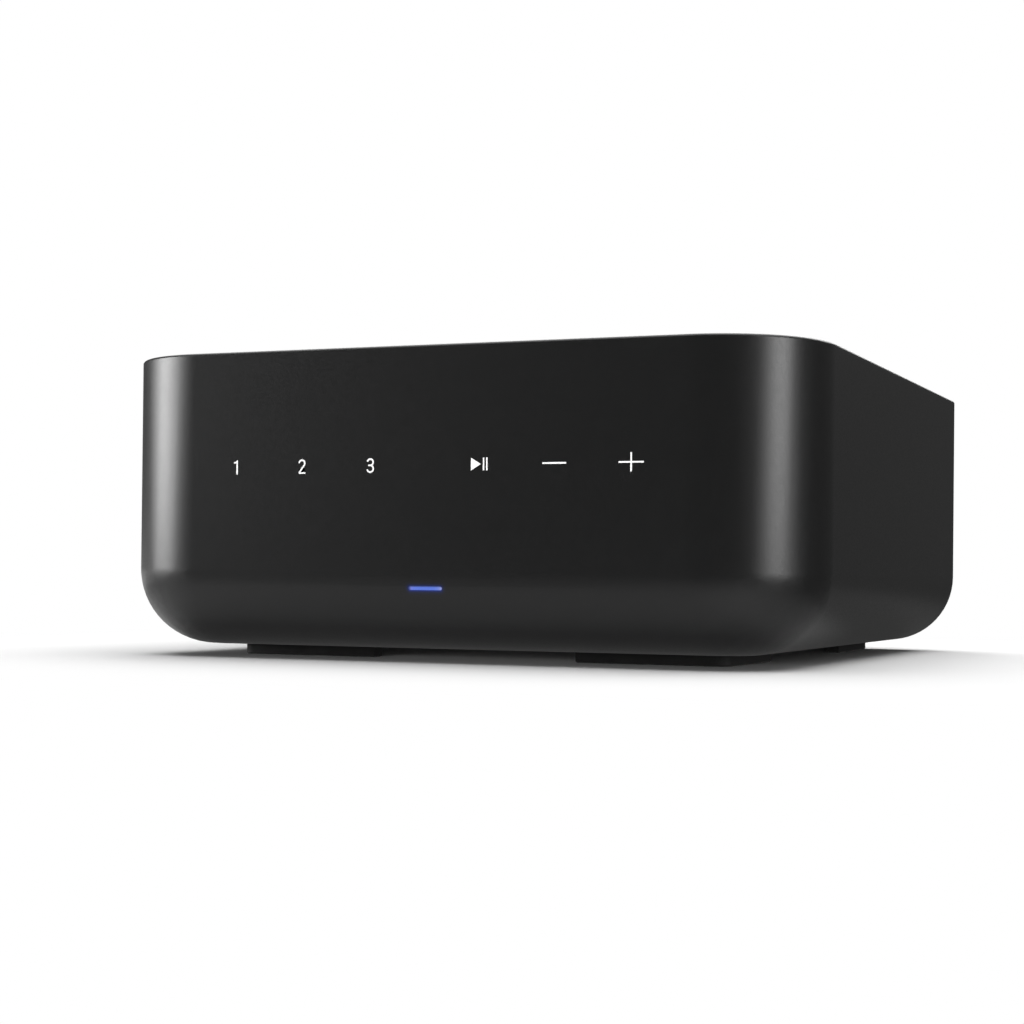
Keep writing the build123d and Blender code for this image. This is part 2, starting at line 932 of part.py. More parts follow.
# Ribbon cables and the supply wires between the boards
ribbon_z = deck_top + ribbon_thickness / 2
main_front_y = board_back_y - main_board_length
ribbon_route = [
    (touch_back_y, key_height),
    (touch_back_y + ribbon_exit, key_height),
    (main_front_y - ribbon_fall, ribbon_z - ribbon_sag),
    (main_front_y - ribbon_exit, ribbon_z + ribbon_hump),
    (main_front_y, ribbon_z),
    (main_front_y + ribbon_lap, ribbon_z),
]
with BuildPart() as ribbon_cables:
    with BuildSketch(Plane.YZ.offset(ribbon_x - ribbon_width / 2)):
        with BuildLine() as ribbon_line:
            Polyline(*ribbon_route)
        trace(ribbon_line.line, ribbon_thickness)
    extrude(amount=ribbon_width)
    with BuildSketch(level(board_top)):
        with Locations((amplifier_board_x, board_back_y - signal_ribbon_back)):
            Rectangle(signal_ribbon_width, ribbon_thickness)
    extrude(amount=deck_z - board_top)
finish(ribbon_cables, "ribbon_cables")

power_edge = power_board_x + power_board_width / 2
amplifier_edge = amplifier_board_x - amplifier_board_width / 2
with BuildPart() as supply_wires:
    for wire in range(wire_count):
        wire_y = board_back_y - wire_back + wire * wire_pitch
        wire_x = power_edge - wire_inset
        with BuildLine() as wire_route:
            FilletPolyline(
                (wire_x, wire_y, board_top),
                (wire_x, wire_y, board_top + wire_rise),
                (amplifier_edge + wire_inset, wire_y, board_top + wire_rise),
                (amplifier_edge + wire_inset, wire_y, board_top),
                radius=wire_bend,
            )
        with BuildSketch(Plane((wire_x, wire_y, board_top), z_dir=(0, 0, 1))):
            Circle(wire_radius)
        sweep(path=wire_route.line)
finish(supply_wires, "supply_wires")

# Speaker terminals: insulated posts through the panel, with a tag and nut inside
terminal_points = [(x, terminal_z) for x in terminal_places]


def rings(back_y, length, radius, bore):
    """One ring on each terminal's axis, from back_y towards the front."""
    with BuildPart() as ring_set:
        with BuildSketch(across(back_y)):
            with Locations(*terminal_points):
                Circle(radius)
            with Locations(*terminal_points):
                Circle(bore, mode=Mode.SUBTRACT)
        extrude(amount=length)
    return ring_set.part


post_fit = post_radius + running_clearance
tag_y = panel_inner_y - insulator_thickness
nut_y = tag_y - tag_thickness
post_start_y = nut_y - nut_thickness - post_tail

with BuildPart() as terminal_insulators:
    add(rings(washer_y, bush_flange, bush_radius, post_fit))
    add(rings(panel_y, panel_thickness - collar_end_gap, bush_collar_radius, post_fit))
    add(rings(panel_inner_y, insulator_thickness, bush_radius, post_fit))
finish(terminal_insulators, "terminal_insulators")

with BuildPart() as terminal_tags:
    add(rings(tag_y, tag_thickness, tag_radius, post_fit))
    for x in terminal_places:
        strip_top = terminal_z - post_fit - running_clearance
        with BuildSketch(across(tag_y)):
            with Locations((x, (strip_top + board_top) / 2)):
                Rectangle(tag_width, strip_top - board_top)
        extrude(amount=tag_thickness)
finish(terminal_tags, "terminal_tags")

with BuildPart() as terminal_nuts:
    with BuildSketch(across(nut_y)):
        with Locations(*terminal_points):
            RegularPolygon(nut_flats / sqrt(3), 6)
        with Locations(*terminal_points):
            Circle(post_fit, mode=Mode.SUBTRACT)
    extrude(amount=nut_thickness)
finish(terminal_nuts, "terminal_nuts")

with BuildPart() as speaker_posts:
    with BuildSketch(across(post_end_y)):
        with Locations(*terminal_points):
            Circle(post_radius)
    extrude(amount=post_end_y - post_start_y)
    with BuildSketch(across(post_end_y)):
        with Locations(*terminal_points):
            Circle(post_bore_radius)
    extrude(amount=post_bore_depth, mode=Mode.SUBTRACT)
    with BuildSketch(level(terminal_z - post_radius - overcut)):
        with Locations(*[(x, washer_y + wire_hole_reach) for x in terminal_places]):
            Circle(wire_hole_radius)
    extrude(amount=2 * (post_radius + overcut), mode=Mode.SUBTRACT)
finish(speaker_posts, "speaker_posts")

# Each terminal's clamping washer slides on the post, and its cap screws along the post
terminal_names = ["right_plus", "right_minus", "left_plus", "left_minus"]
for terminal_name, x in zip(terminal_names, terminal_places):
    with BuildPart() as washer:
        with BuildSketch(across(cap_y)):
            with Locations((x, terminal_z)):
                Circle(washer_radius)
                Circle(post_fit, mode=Mode.SUBTRACT)
        extrude(amount=washer_thickness)
    finish(washer, f"washer_{terminal_name}")

    with BuildPart() as cap:
        cap_end_y = cap_y + cap_length
        with BuildSketch(across(cap_end_y)):
            with Locations((x, terminal_z)):
                Circle(cap_radius)
        extrude(amount=cap_length)
        fillet(edges().group_by(Axis.Y)[-1], cap_round)
        with BuildSketch(across(cap_end_y - cap_band)):
            with Locations((x, terminal_z)):
                flute_centre = cap_radius + cap_flute_radius - cap_flute_depth
                with PolarLocations(flute_centre, cap_flute_count):
                    Circle(cap_flute_radius)
        extrude(amount=cap_length - 2 * cap_band, mode=Mode.SUBTRACT)
        with BuildSketch(across(cap_end_y - cap_end_wall)):
            with Locations((x, terminal_z)):
                Circle(post_fit)
        extrude(amount=cap_length, mode=Mode.SUBTRACT)
        with BuildSketch(across(cap_end_y)):
            with Locations((x, terminal_z)):
                Circle(cap_bore_radius)
        extrude(amount=cap_end_wall, mode=Mode.SUBTRACT)
    finish(cap, f"cap_{terminal_name}")

# Mains inlet with its three blades
inlet_y = panel_y + socket_proud
inlet_z = board_top + inlet_height / 2
pocket_floor_y = inlet_y - inlet_pocket_depth
with BuildPart() as mains_inlet:
    with BuildSketch(across(inlet_y)):
        with Locations((inlet_x, inlet_z)):
            Rectangle(inlet_width, inlet_height)
    extrude(amount=inlet_depth)
    with BuildSketch(across(inlet_y)):
        with Locations((inlet_x, inlet_z)):
            Rectangle(inlet_pocket_width, inlet_pocket_height)
        chamfer(vertices().group_by(Axis.Y)[-1], inlet_pocket_chamfer)
    extrude(amount=inlet_pocket_depth, mode=Mode.SUBTRACT)
finish(mains_inlet, "mains_inlet")

with BuildPart() as inlet_blades:
    live_z = inlet_z - blade_drop
    blade_places = [
        (inlet_x - blade_pitch / 2, live_z),
        (inlet_x, live_z + earth_blade_rise),
        (inlet_x + blade_pitch / 2, live_z),
    ]
    with BuildSketch(across(pocket_floor_y + blade_length)):
        with Locations(*blade_places):
            Rectangle(blade_width, blade_height)
    extrude(amount=blade_length)
finish(inlet_blades, "inlet_blades")


def block_on_deck(x, width, height, depth):
    """A socket's block on the main board, a little proud of the rear panel."""
    with BuildPart() as block:
        with BuildSketch(across(panel_y + socket_proud)):
            with Locations((x, deck_top + height / 2)):
                Rectangle(width, height)
        extrude(amount=depth)
    return block.part


with BuildPart() as network_socket:
    add(block_on_deck(network_x, network_width, network_height, network_depth))
    mouth_low = deck_top + network_sill
    with BuildSketch(across(panel_y + socket_proud)):
        with Locations((network_x, mouth_low + network_mouth_height / 2)):
            Rectangle(network_mouth_width, network_mouth_height)
        with Locations((network_x, mouth_low - network_latch_drop / 2)):
            Rectangle(network_latch_width, network_latch_drop)
    extrude(amount=network_mouth_depth, mode=Mode.SUBTRACT)
finish(network_socket, "network_socket")

with BuildPart() as usb_socket:
    add(block_on_deck(usb_x, usb_width, usb_height, usb_depth))
    with BuildSketch(across(panel_y + socket_proud)):
        with Locations((usb_x, deck_top + usb_height / 2)):
            Rectangle(usb_width - 2 * usb_shell, usb_height - 2 * usb_shell)
    extrude(amount=usb_depth - usb_back, mode=Mode.SUBTRACT)
finish(usb_socket, "usb_socket")

with BuildPart() as hdmi_socket:
    hdmi_z = deck_top + hdmi_height / 2
    add(block_on_deck(hdmi_x, hdmi_width, hdmi_height, hdmi_depth))
    chamfer(
        edges().filter_by(Axis.Y).group_by(Axis.Z)[0],
        hdmi_chamfer,
    )
    with BuildSketch(across(panel_y + socket_proud)):
        with Locations((hdmi_x, hdmi_z)):
            Rectangle(hdmi_width - 2 * hdmi_shell, hdmi_height - 2 * hdmi_shell)
        chamfer(vertices().group_by(Axis.Y)[0], hdmi_chamfer)
    extrude(amount=hdmi_depth - hdmi_back, mode=Mode.SUBTRACT)
finish(hdmi_socket, "hdmi_socket")

with BuildPart() as contact_tongues:
    usb_floor_y = panel_y + socket_proud - usb_depth + usb_back
    with BuildSketch(across(usb_floor_y + usb_tongue_length)):
        with Locations((usb_x, deck_top + usb_height / 2 + usb_tongue_rise)):
            Rectangle(usb_tongue_width, usb_tongue_thickness)
    extrude(amount=usb_tongue_length)
    hdmi_floor_y = panel_y + socket_proud - hdmi_depth + hdmi_back
    with BuildSketch(across(hdmi_floor_y + hdmi_tongue_length)):
        with Locations((hdmi_x, hdmi_z)):
            Rectangle(hdmi_tongue_width, hdmi_tongue_thickness)
    extrude(amount=hdmi_tongue_length)
finish(contact_tongues, "contact_tongues")

# Optical socket, whose shutter swings in and up under the roof of its mouth
optical_y = panel_y + socket_proud
optical_floor_z = deck_top + optical_sill
optical_roof_z = optical_floor_z + optical_mouth_height
shutter_y = optical_y - shutter_inset - shutter_barrel_radius
shutter_z = optical_roof_z - shutter_gap - shutter_barrel_radius
shutter_half_width = optical_mouth_width / 2 - shutter_gap
with BuildPart() as optical_socket:
    add(block_on_deck(optical_x, optical_width, optical_height, optical_depth))
    with BuildSketch(across(optical_y)):
        with Locations((optical_x, optical_floor_z + optical_mouth_height / 2)):
            Rectangle(optical_mouth_width, optical_mouth_height)
    extrude(amount=optical_mouth_depth, mode=Mode.SUBTRACT)
    pin_reach = optical_mouth_width / 2 + shutter_pin_length
    with BuildSketch(Plane.YZ.offset(optical_x - pin_reach)):
        with Locations((shutter_y, shutter_z)):
            Circle(shutter_pin_radius + running_clearance)
    extrude(amount=2 * pin_reach, mode=Mode.SUBTRACT)
finish(optical_socket, "optical_socket")

with BuildPart() as optical_shutter:
    with BuildSketch(Plane.YZ.offset(optical_x - shutter_half_width)):
        with Locations((shutter_y, shutter_z)):
            Circle(shutter_barrel_radius)
        leaf_low = optical_floor_z + shutter_gap
        with Locations((shutter_y, (shutter_z + leaf_low) / 2)):
            Rectangle(shutter_thickness, shutter_z - leaf_low)
    extrude(amount=2 * shutter_half_width)
    pin_half = pin_reach - shutter_gap
    with BuildSketch(Plane.YZ.offset(optical_x - pin_half)):
        with Locations((shutter_y, shutter_z)):
            Circle(shutter_pin_radius)
    extrude(amount=2 * pin_half)
finish(optical_shutter, "optical_shutter")

# Four phono sockets in one block behind the panel
with BuildPart() as phono_block:
    with BuildSketch(across(panel_inner_y)):
        with Locations((rca_x, rca_z)):
            Rectangle(2 * rca_pitch, 2 * rca_pitch)
    extrude(amount=rca_block_depth)
finish(phono_block, "phono_block")

shell_y = panel_y + rca_shell_reach
with BuildPart() as phono_shells:
    with BuildSketch(across(shell_y)):
        with Locations(*rca_places):
            Circle(rca_shell_radius)
        with Locations(*rca_places):
            Circle(rca_shell_radius - rca_shell_wall, mode=Mode.SUBTRACT)
    extrude(amount=shell_y - panel_inner_y)
finish(phono_shells, "phono_shells")

with BuildPart() as phono_inserts:
    insert_y = shell_y - rca_insert_setback
    insert_radius = rca_shell_radius - rca_shell_wall - rca_insert_clearance
    with BuildSketch(across(insert_y)):
        with Locations(*rca_places):
            Circle(insert_radius)
    extrude(amount=insert_y - panel_inner_y)
    with BuildSketch(across(insert_y)):
        with Locations(*rca_places):
            Circle(rca_pin_radius)
    extrude(amount=rca_pin_depth, mode=Mode.SUBTRACT)
finish(phono_inserts, "phono_inserts")

# Pairing button: a pin through the panel that presses a switch on the main board
switch_gap = button_collar_gap + button_collar_thickness + button_travel + button_stop_gap
switch_y = panel_inner_y - switch_gap
with BuildPart() as button_switch:
    with BuildSketch(across(switch_y)):
        with Locations((button_x, deck_top + switch_size / 2)):
            Rectangle(switch_size, switch_size)
    extrude(amount=switch_depth)
    with BuildSketch(across(switch_y)):
        with Locations((button_x, button_z)):
            Circle(button_radius + running_clearance)
    extrude(amount=switch_bore_depth, mode=Mode.SUBTRACT)
finish(button_switch, "button_switch")

with BuildPart() as pairing_button:
    button_end_y = panel_y + button_proud
    with BuildSketch(across(button_end_y)):
        with Locations((button_x, button_z)):
            Circle(button_radius)
    extrude(amount=button_end_y - switch_y + button_engagement)
    with BuildSketch(across(panel_inner_y - button_collar_gap)):
        with Locations((button_x, button_z)):
            Circle(button_collar_radius)
    extrude(amount=button_collar_thickness)
finish(pairing_button, "pairing_button")
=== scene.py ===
import math

import bmesh
import bpy
from mathutils import Matrix, Vector


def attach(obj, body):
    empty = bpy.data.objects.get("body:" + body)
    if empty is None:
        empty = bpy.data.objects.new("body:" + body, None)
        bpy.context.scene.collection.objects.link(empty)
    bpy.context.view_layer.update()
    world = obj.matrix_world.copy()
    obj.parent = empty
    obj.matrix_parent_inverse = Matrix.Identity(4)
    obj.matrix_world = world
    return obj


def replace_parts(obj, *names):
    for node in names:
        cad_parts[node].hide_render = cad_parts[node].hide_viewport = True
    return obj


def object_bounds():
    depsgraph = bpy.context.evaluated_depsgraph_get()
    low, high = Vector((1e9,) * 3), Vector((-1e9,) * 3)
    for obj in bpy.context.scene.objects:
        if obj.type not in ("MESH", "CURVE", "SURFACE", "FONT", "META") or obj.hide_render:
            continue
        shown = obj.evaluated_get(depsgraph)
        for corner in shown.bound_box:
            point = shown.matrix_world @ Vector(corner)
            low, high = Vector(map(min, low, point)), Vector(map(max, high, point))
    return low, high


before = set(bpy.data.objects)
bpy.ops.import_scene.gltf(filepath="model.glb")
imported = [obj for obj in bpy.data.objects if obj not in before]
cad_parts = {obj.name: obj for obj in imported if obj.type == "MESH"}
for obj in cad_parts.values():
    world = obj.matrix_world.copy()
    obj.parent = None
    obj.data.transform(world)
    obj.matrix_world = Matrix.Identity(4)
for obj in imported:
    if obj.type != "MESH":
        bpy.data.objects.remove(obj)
cad_box = [list(corner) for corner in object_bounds()]
mm = 0.001


# Tub and lid: two mouldings in black ABS, the lid let into the tub's rim. The tool is
# spark-eroded to a fine satin grain, which breaks up reflections without dulling them.
# The light behind the bar in the front bleeds a little way into the plastic round it.
def start_finish(name, colour, roughness, metallic=0.0):
    """A bare finish, ready for tone, grain and wear."""
    finish = bpy.data.materials.new(name)
    finish.use_nodes = True
    shader = finish.node_tree.nodes["Principled BSDF"]
    shader.inputs["Base Color"].default_value = (*colour, 1)
    shader.inputs["Roughness"].default_value = roughness
    shader.inputs["Metallic"].default_value = metallic
    return finish


def inside(finish):
    """The node tree of a finish, and its shader."""
    return finish.node_tree, finish.node_tree.nodes["Principled BSDF"]


def node(tree, kind, inputs=None, **settings):
    """Adds one node to a finish and sets or links its inputs."""
    made = tree.nodes.new("ShaderNode" + kind)
    for setting, value in settings.items():
        setattr(made, setting, value)
    for socket, value in (inputs or {}).items():
        if isinstance(value, bpy.types.NodeSocket):
            tree.links.new(value, made.inputs[socket])
        else:
            made.inputs[socket].default_value = value
    return made


def calc(tree, operation, *values):
    """The result of one sum on numbers or node outputs."""
    return node(tree, "Math", dict(enumerate(values)), operation=operation).outputs[0]


def apart(tree, value, middle):
    """How far a value lies from a middle one, to either side."""
    return calc(tree, "ABSOLUTE", calc(tree, "SUBTRACT", value, middle))


def past(tree, value, limit):
    """How far a value runs past a limit to either side of zero."""
    return calc(tree, "MAXIMUM", calc(tree, "SUBTRACT", calc(tree, "ABSOLUTE", value), limit), 0)


def diagonal(tree, across, along):
    """The straight distance made up of two distances at right angles."""
    squares = [calc(tree, "MULTIPLY", leg, leg) for leg in (across, along)]
    return calc(tree, "SQRT", calc(tree, "ADD", *squares))


def ramp(tree, value, start, end, low, high, **settings):
    """Runs from low to high while a value goes from start to end."""
    return node(tree, "MapRange", {
        "Value": value, "From Min": start, "From Max": end, "To Min": low, "To Max": high,
    }, **settings).outputs[0]


def position(tree):
    """The place on the piece, in metres, as separate X, Y and Z."""
    spot = node(tree, "TexCoord").outputs["Object"]
    return node(tree, "SeparateXYZ", {0: spot}).outputs


def cloud(tree, size, stretch=(1, 1, 1), detail=2.0):
    """Soft random patches of about this size in metres, drawn out along an axis."""
    spot = node(tree, "TexCoord").outputs["Object"]
    drawn = node(tree, "VectorMath", {0: spot, 1: stretch}, operation="MULTIPLY")
    return node(tree, "TexNoise", {
        "Vector": drawn.outputs[0], "Scale": 1 / size, "Detail": detail,
    }).outputs[0]


def spread(tree, patches, low, high):
    """Turns random patches into values between low and high."""
    faintest, strongest = 0.3, 0.7
    return ramp(tree, patches, faintest, strongest, low, high)


def blend_colours(tree, share, first, second):
    """A colour between the first and the second."""
    mix = node(tree, "Mix", {0: share}, data_type="RGBA")
    for number, colour in ((6, first), (7, second)):
        if isinstance(colour, bpy.types.NodeSocket):
            tree.links.new(colour, mix.inputs[number])
        else:
            mix.inputs[number].default_value = (*colour, 1)
    return mix.outputs[2]


def wear(tree, shader, socket, value):
    """Feeds a worked-out value into one of the shader's inputs."""
    tree.links.new(value, shader.inputs[socket])


def recolour(tree, shader, share, colour):
    """Lays another colour over the one that the finish has, where the share is 1."""
    own = shader.inputs["Base Color"].links[0].from_socket
    wear(tree, shader, "Base Color", blend_colours(tree, share, own, colour))


def relief(tree, shader, height, depth):
    """Raises the surface by a height that runs from 0 to 1 over this depth in metres."""
    normal = shader.inputs["Normal"]
    bump = node(tree, "Bump", {"Height": height, "Distance": depth, "Strength": 1.0})
    if normal.is_linked:
        tree.links.new(normal.links[0].from_socket, bump.inputs["Normal"])
    tree.links.new(bump.outputs[0], normal)


def dress(finish, *node_names):
    """Gives nodes of the frame their finish."""
    for node_name in node_names:
        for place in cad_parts[node_name].material_slots:
            place.material = finish


def moulded(name, dark, light, roughness, grain=0.3 * mm, grain_depth=0.004 * mm,
            satin_patch=9 * mm, satin_detail=3, satin_swing=0.03):
    """Moulded plastic: a faint mottle, a satin that varies a little and a fine grain."""
    finish = start_finish(name, dark, roughness)
    tree, shader = inside(finish)
    tone = spread(tree, cloud(tree, 5 * mm, detail=4), 0, 1)
    wear(tree, shader, "Base Color", blend_colours(tree, tone, dark, light))
    satin = cloud(tree, satin_patch, detail=satin_detail)
    glossiest, dullest = roughness * (1 - satin_swing), roughness * (1 + satin_swing)
    wear(tree, shader, "Roughness", spread(tree, satin, glossiest, dullest))
    relief(tree, shader, cloud(tree, grain), grain_depth)
    return finish


light_bar_z = 21.2 * mm
light_bar_half, light_bar_round = 4.55 * mm, 0.5 * mm
glow_reach, glow_strength, glow_blue = 0.31 * mm, 0.2, (0.0, 0.09, 1.0)
front_zone = -100 * mm
casing_roughness, casing_swing = 0.34, 0.032
casing = moulded(
    "casing_black", (0.0046, 0.0046, 0.0047), (0.0052, 0.0052, 0.0053), casing_roughness,
    grain=0.42 * mm, grain_depth=0.009 * mm,
    satin_patch=0.55 * mm, satin_detail=1, satin_swing=casing_swing / casing_roughness,
)
tree, shader = inside(casing)
x, y, z = position(tree)
beside_bar = past(tree, x, light_bar_half)
above_bar = calc(tree, "SUBTRACT", z, light_bar_z)
from_bar = calc(tree, "SUBTRACT", diagonal(tree, beside_bar, above_bar), light_bar_round)
fade = calc(tree, "EXPONENT", calc(tree, "DIVIDE", from_bar, -glow_reach))
in_front = calc(tree, "LESS_THAN", y, front_zone)
glow = calc(tree, "MULTIPLY", calc(tree, "MULTIPLY", fade, in_front), glow_strength)
wear(tree, shader, "Emission Strength", glow)
shader.inputs["Emission Color"].default_value = (*glow_blue, 1)
dress(casing, "housing", "lid")
weld_gap, sharp_angle = 0.002 * mm, math.radians(30)


def same_shape(name, node_name, finish, body="root"):
    """The node's own shape as a new piece, shaded so that its rounds flow into its flats."""
    form = bmesh.new()
    form.from_mesh(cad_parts[node_name].data)
    bmesh.ops.remove_doubles(form, verts=form.verts, dist=weld_gap)
    for face in form.faces:
        face.smooth = True
    mesh = bpy.data.meshes.new(name)
    form.to_mesh(mesh)
    form.free()
    mesh.set_sharp_from_angle(angle=sharp_angle)
    mesh.materials.append(finish)
    piece = bpy.data.objects.new(name, mesh)
    bpy.context.scene.collection.objects.link(piece)
    flow = piece.modifiers.new("even_shading", "WEIGHTED_NORMAL")
    flow.keep_sharp = True
    flow.weight = 100
    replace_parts(piece, node_name)
    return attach(piece, body)


same_shape("tub", "housing", casing)


# Feet: four angles in dark rubber, pressed into the tub's floor by pegs. The rubber is
# matt and nearly black, with a coarser grain than the casing.
foot_rubber = moulded(
    "foot_rubber", (0.003, 0.003, 0.003), (0.006, 0.006, 0.006), 0.72,
    grain=0.5 * mm, grain_depth=0.02 * mm,
)
dress(foot_rubber, *[f"foot_{end}_{side}" for end in ("front", "rear") for side in ("left", "right")])


# Key legends: six marks pad-printed in white ink on the flat of the front, as films 0.03 mm
# thick: three numbers, play and pause, minus and plus. They are drawn in millimetres from
# the middle of each key.
front_y = -119.5 * mm
key_z = 56.0 * mm
key_first, key_pitch = 16.8, 21.95
film = 0.03 * mm
stroke = 0.47
figure_half, sign_half = 2.1, 1.8


def fit_piece(name, form, finish):
    """Makes a piece of a filled form, in its finish, fixed to the still body."""
    mesh = bpy.data.meshes.new(name)
    bmesh.ops.recalc_face_normals(form, faces=form.faces)
    for face in form.faces:
        face.smooth = True
    form.to_mesh(mesh)
    form.free()
    mesh.set_sharp_from_angle(angle=sharp_angle)
    mesh.materials.append(finish)
    piece = bpy.data.objects.new(name, mesh)
    bpy.context.scene.collection.objects.link(piece)
    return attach(piece, "root")


def arc(centre, radius, start, end, steps):
    """Points along an arc, from one angle in degrees to another."""
    angles = [math.radians(start + (end - start) * n / steps) for n in range(steps + 1)]
    return [
        (centre[0] + radius * math.cos(a), centre[1] + radius * math.sin(a)) for a in angles
    ]


def pen_line(points, width):
    """The outline of a pen stroke along points, with round ends and mitred corners."""
    half = width / 2
    sharpest_mitre = 0.55
    sides = []
    for n, point in enumerate(points):
        before = Vector(point) - Vector(points[n - 1]) if n else None
        after = Vector(points[n + 1]) - Vector(point) if n + 1 < len(points) else None
        legs = [leg.normalized() for leg in (before, after) if leg is not None]
        along = sum(legs, Vector((0, 0))).normalized()
        reach = half / max(along.dot(legs[0]), sharpest_mitre)
        sides.append((Vector(point), Vector((-along.y, along.x)) * reach))
    left = [tuple(spot + off) for spot, off in sides]
    right = [tuple(spot - off) for spot, off in sides]
    first, last = sides[0], sides[-1]
    start_turn = math.degrees(math.atan2(first[1].y, first[1].x))
    end_turn = math.degrees(math.atan2(last[1].y, last[1].x))
    start_cap = arc(first[0], half, start_turn + 180, start_turn, 8)[1:-1]
    end_cap = arc(last[0], half, end_turn, end_turn - 180, 8)[1:-1]
    return left + end_cap + right[::-1] + start_cap


def number_three():
    """Two bowls that meet in a short middle bar."""
    half = stroke / 2
    upper, lower = 0.9, 0.965
    upper_z = figure_half - half - upper
    lower_z = -figure_half + half + lower
    step = upper + lower
    fall = ((upper + half) ** 2 - (lower + half) ** 2 + step**2) / (2 * step)
    notch_upper = -math.degrees(math.asin(fall / (upper + half)))
    notch_lower = math.degrees(math.asin((step - fall) / (lower + half)))
    bar_end = -0.42
    middle = upper_z - upper
    begin, finish_at = 158, -158
    outline = arc((0, upper_z), upper + half, begin, notch_upper, 22)
    outline += arc((0, lower_z), lower + half, notch_lower, finish_at, 22)[1:]
    tip = arc((0, lower_z), lower, finish_at, finish_at, 1)[0]
    outline += arc(tip, half, finish_at, finish_at - 180, 8)[1:]
    outline += arc((0, lower_z), lower - half, finish_at, 90, 18)[1:]
    outline += arc((bar_end, middle), half, 270, 90, 8)
    outline += arc((0, upper_z), upper - half, -90, begin, 18)
    tip = arc((0, upper_z), upper, begin, begin, 1)[0]
    outline += arc(tip, half, begin + 180, begin, 8)[1:-1]
    return outline


def number_two():
    """A round top that runs into a straight diagonal and a flat base."""
    top = arc((-0.02, 0.965), 0.9, 168, -34, 18)
    base = stroke / 2 - figure_half
    return pen_line(top + [(-0.8, -1.6), (-0.8, base), (0.88, base)], stroke)


def number_one():
    """A plain stem with a short flag to the left of its head."""
    stem = arc((0.4, -1.86), 0.24, 180, 360, 8) + arc((0.56, 2.02), 0.08, 0, 90, 4)
    flag = [(0.36, figure_half), (0.2, 1.86), (-0.1, 1.67), (-0.48, 1.54)]
    return stem + flag + arc((-0.48, 1.33), 0.21, 90, 270, 6) + [(-0.12, 1.16), (0.16, 1.32)]


def bar(low_x, high_x, half_height):
    """A plain bar, level or upright."""
    low_z, high_z = -half_height, half_height
    return [(low_x, low_z), (high_x, low_z), (high_x, high_z), (low_x, high_z)]


minus_half, minus_half_stroke = 3.5, 0.24
wide, tall, thin = 3.55, 2.6, 0.23
plus = [
    (-wide, -thin), (-thin, -thin), (-thin, -tall), (thin, -tall), (thin, -thin), (wide, -thin),
    (wide, thin), (thin, thin), (thin, tall), (-thin, tall), (-thin, thin), (-wide, thin),
]
play = [(-2.55, -sign_half), (0.45, 0), (-2.55, sign_half)]
pause = [bar(1.05, 1.49, sign_half), bar(2.02, 2.46, sign_half)]
legends = [
    (-key_first - 2 * key_pitch - 0.46, [number_one()]),
    (-key_first - key_pitch - 0.48, [number_two()]),
    (-key_first - 0.48, [number_three()]),
    (key_first - 0.3, [play, *pause]),
    (key_first + key_pitch, [bar(-minus_half, minus_half, minus_half_stroke)]),
    (key_first + 2 * key_pitch + 0.2, [plus]),
]
form = bmesh.new()
for key_x, outlines in legends:
    for outline in outlines:
        corners = [
            form.verts.new(((key_x + px) * mm, front_y + film, key_z + pz * mm))
            for px, pz in outline
        ]
        face = form.faces.new(corners)
        face.normal_update()
        bmesh.ops.triangulate(form, faces=[face])
films = list(form.faces)
raised = bmesh.ops.extrude_face_region(form, geom=films)
bmesh.ops.translate(
    form, vec=(0, -2 * film, 0),
    verts=[item for item in raised["geom"] if isinstance(item, bmesh.types.BMVert)],
)
white_ink = moulded("white_ink", (0.82, 0.82, 0.82), (0.9, 0.9, 0.9), 0.5, grain=0.2 * mm)
fit_piece("key_legends", form, white_ink)


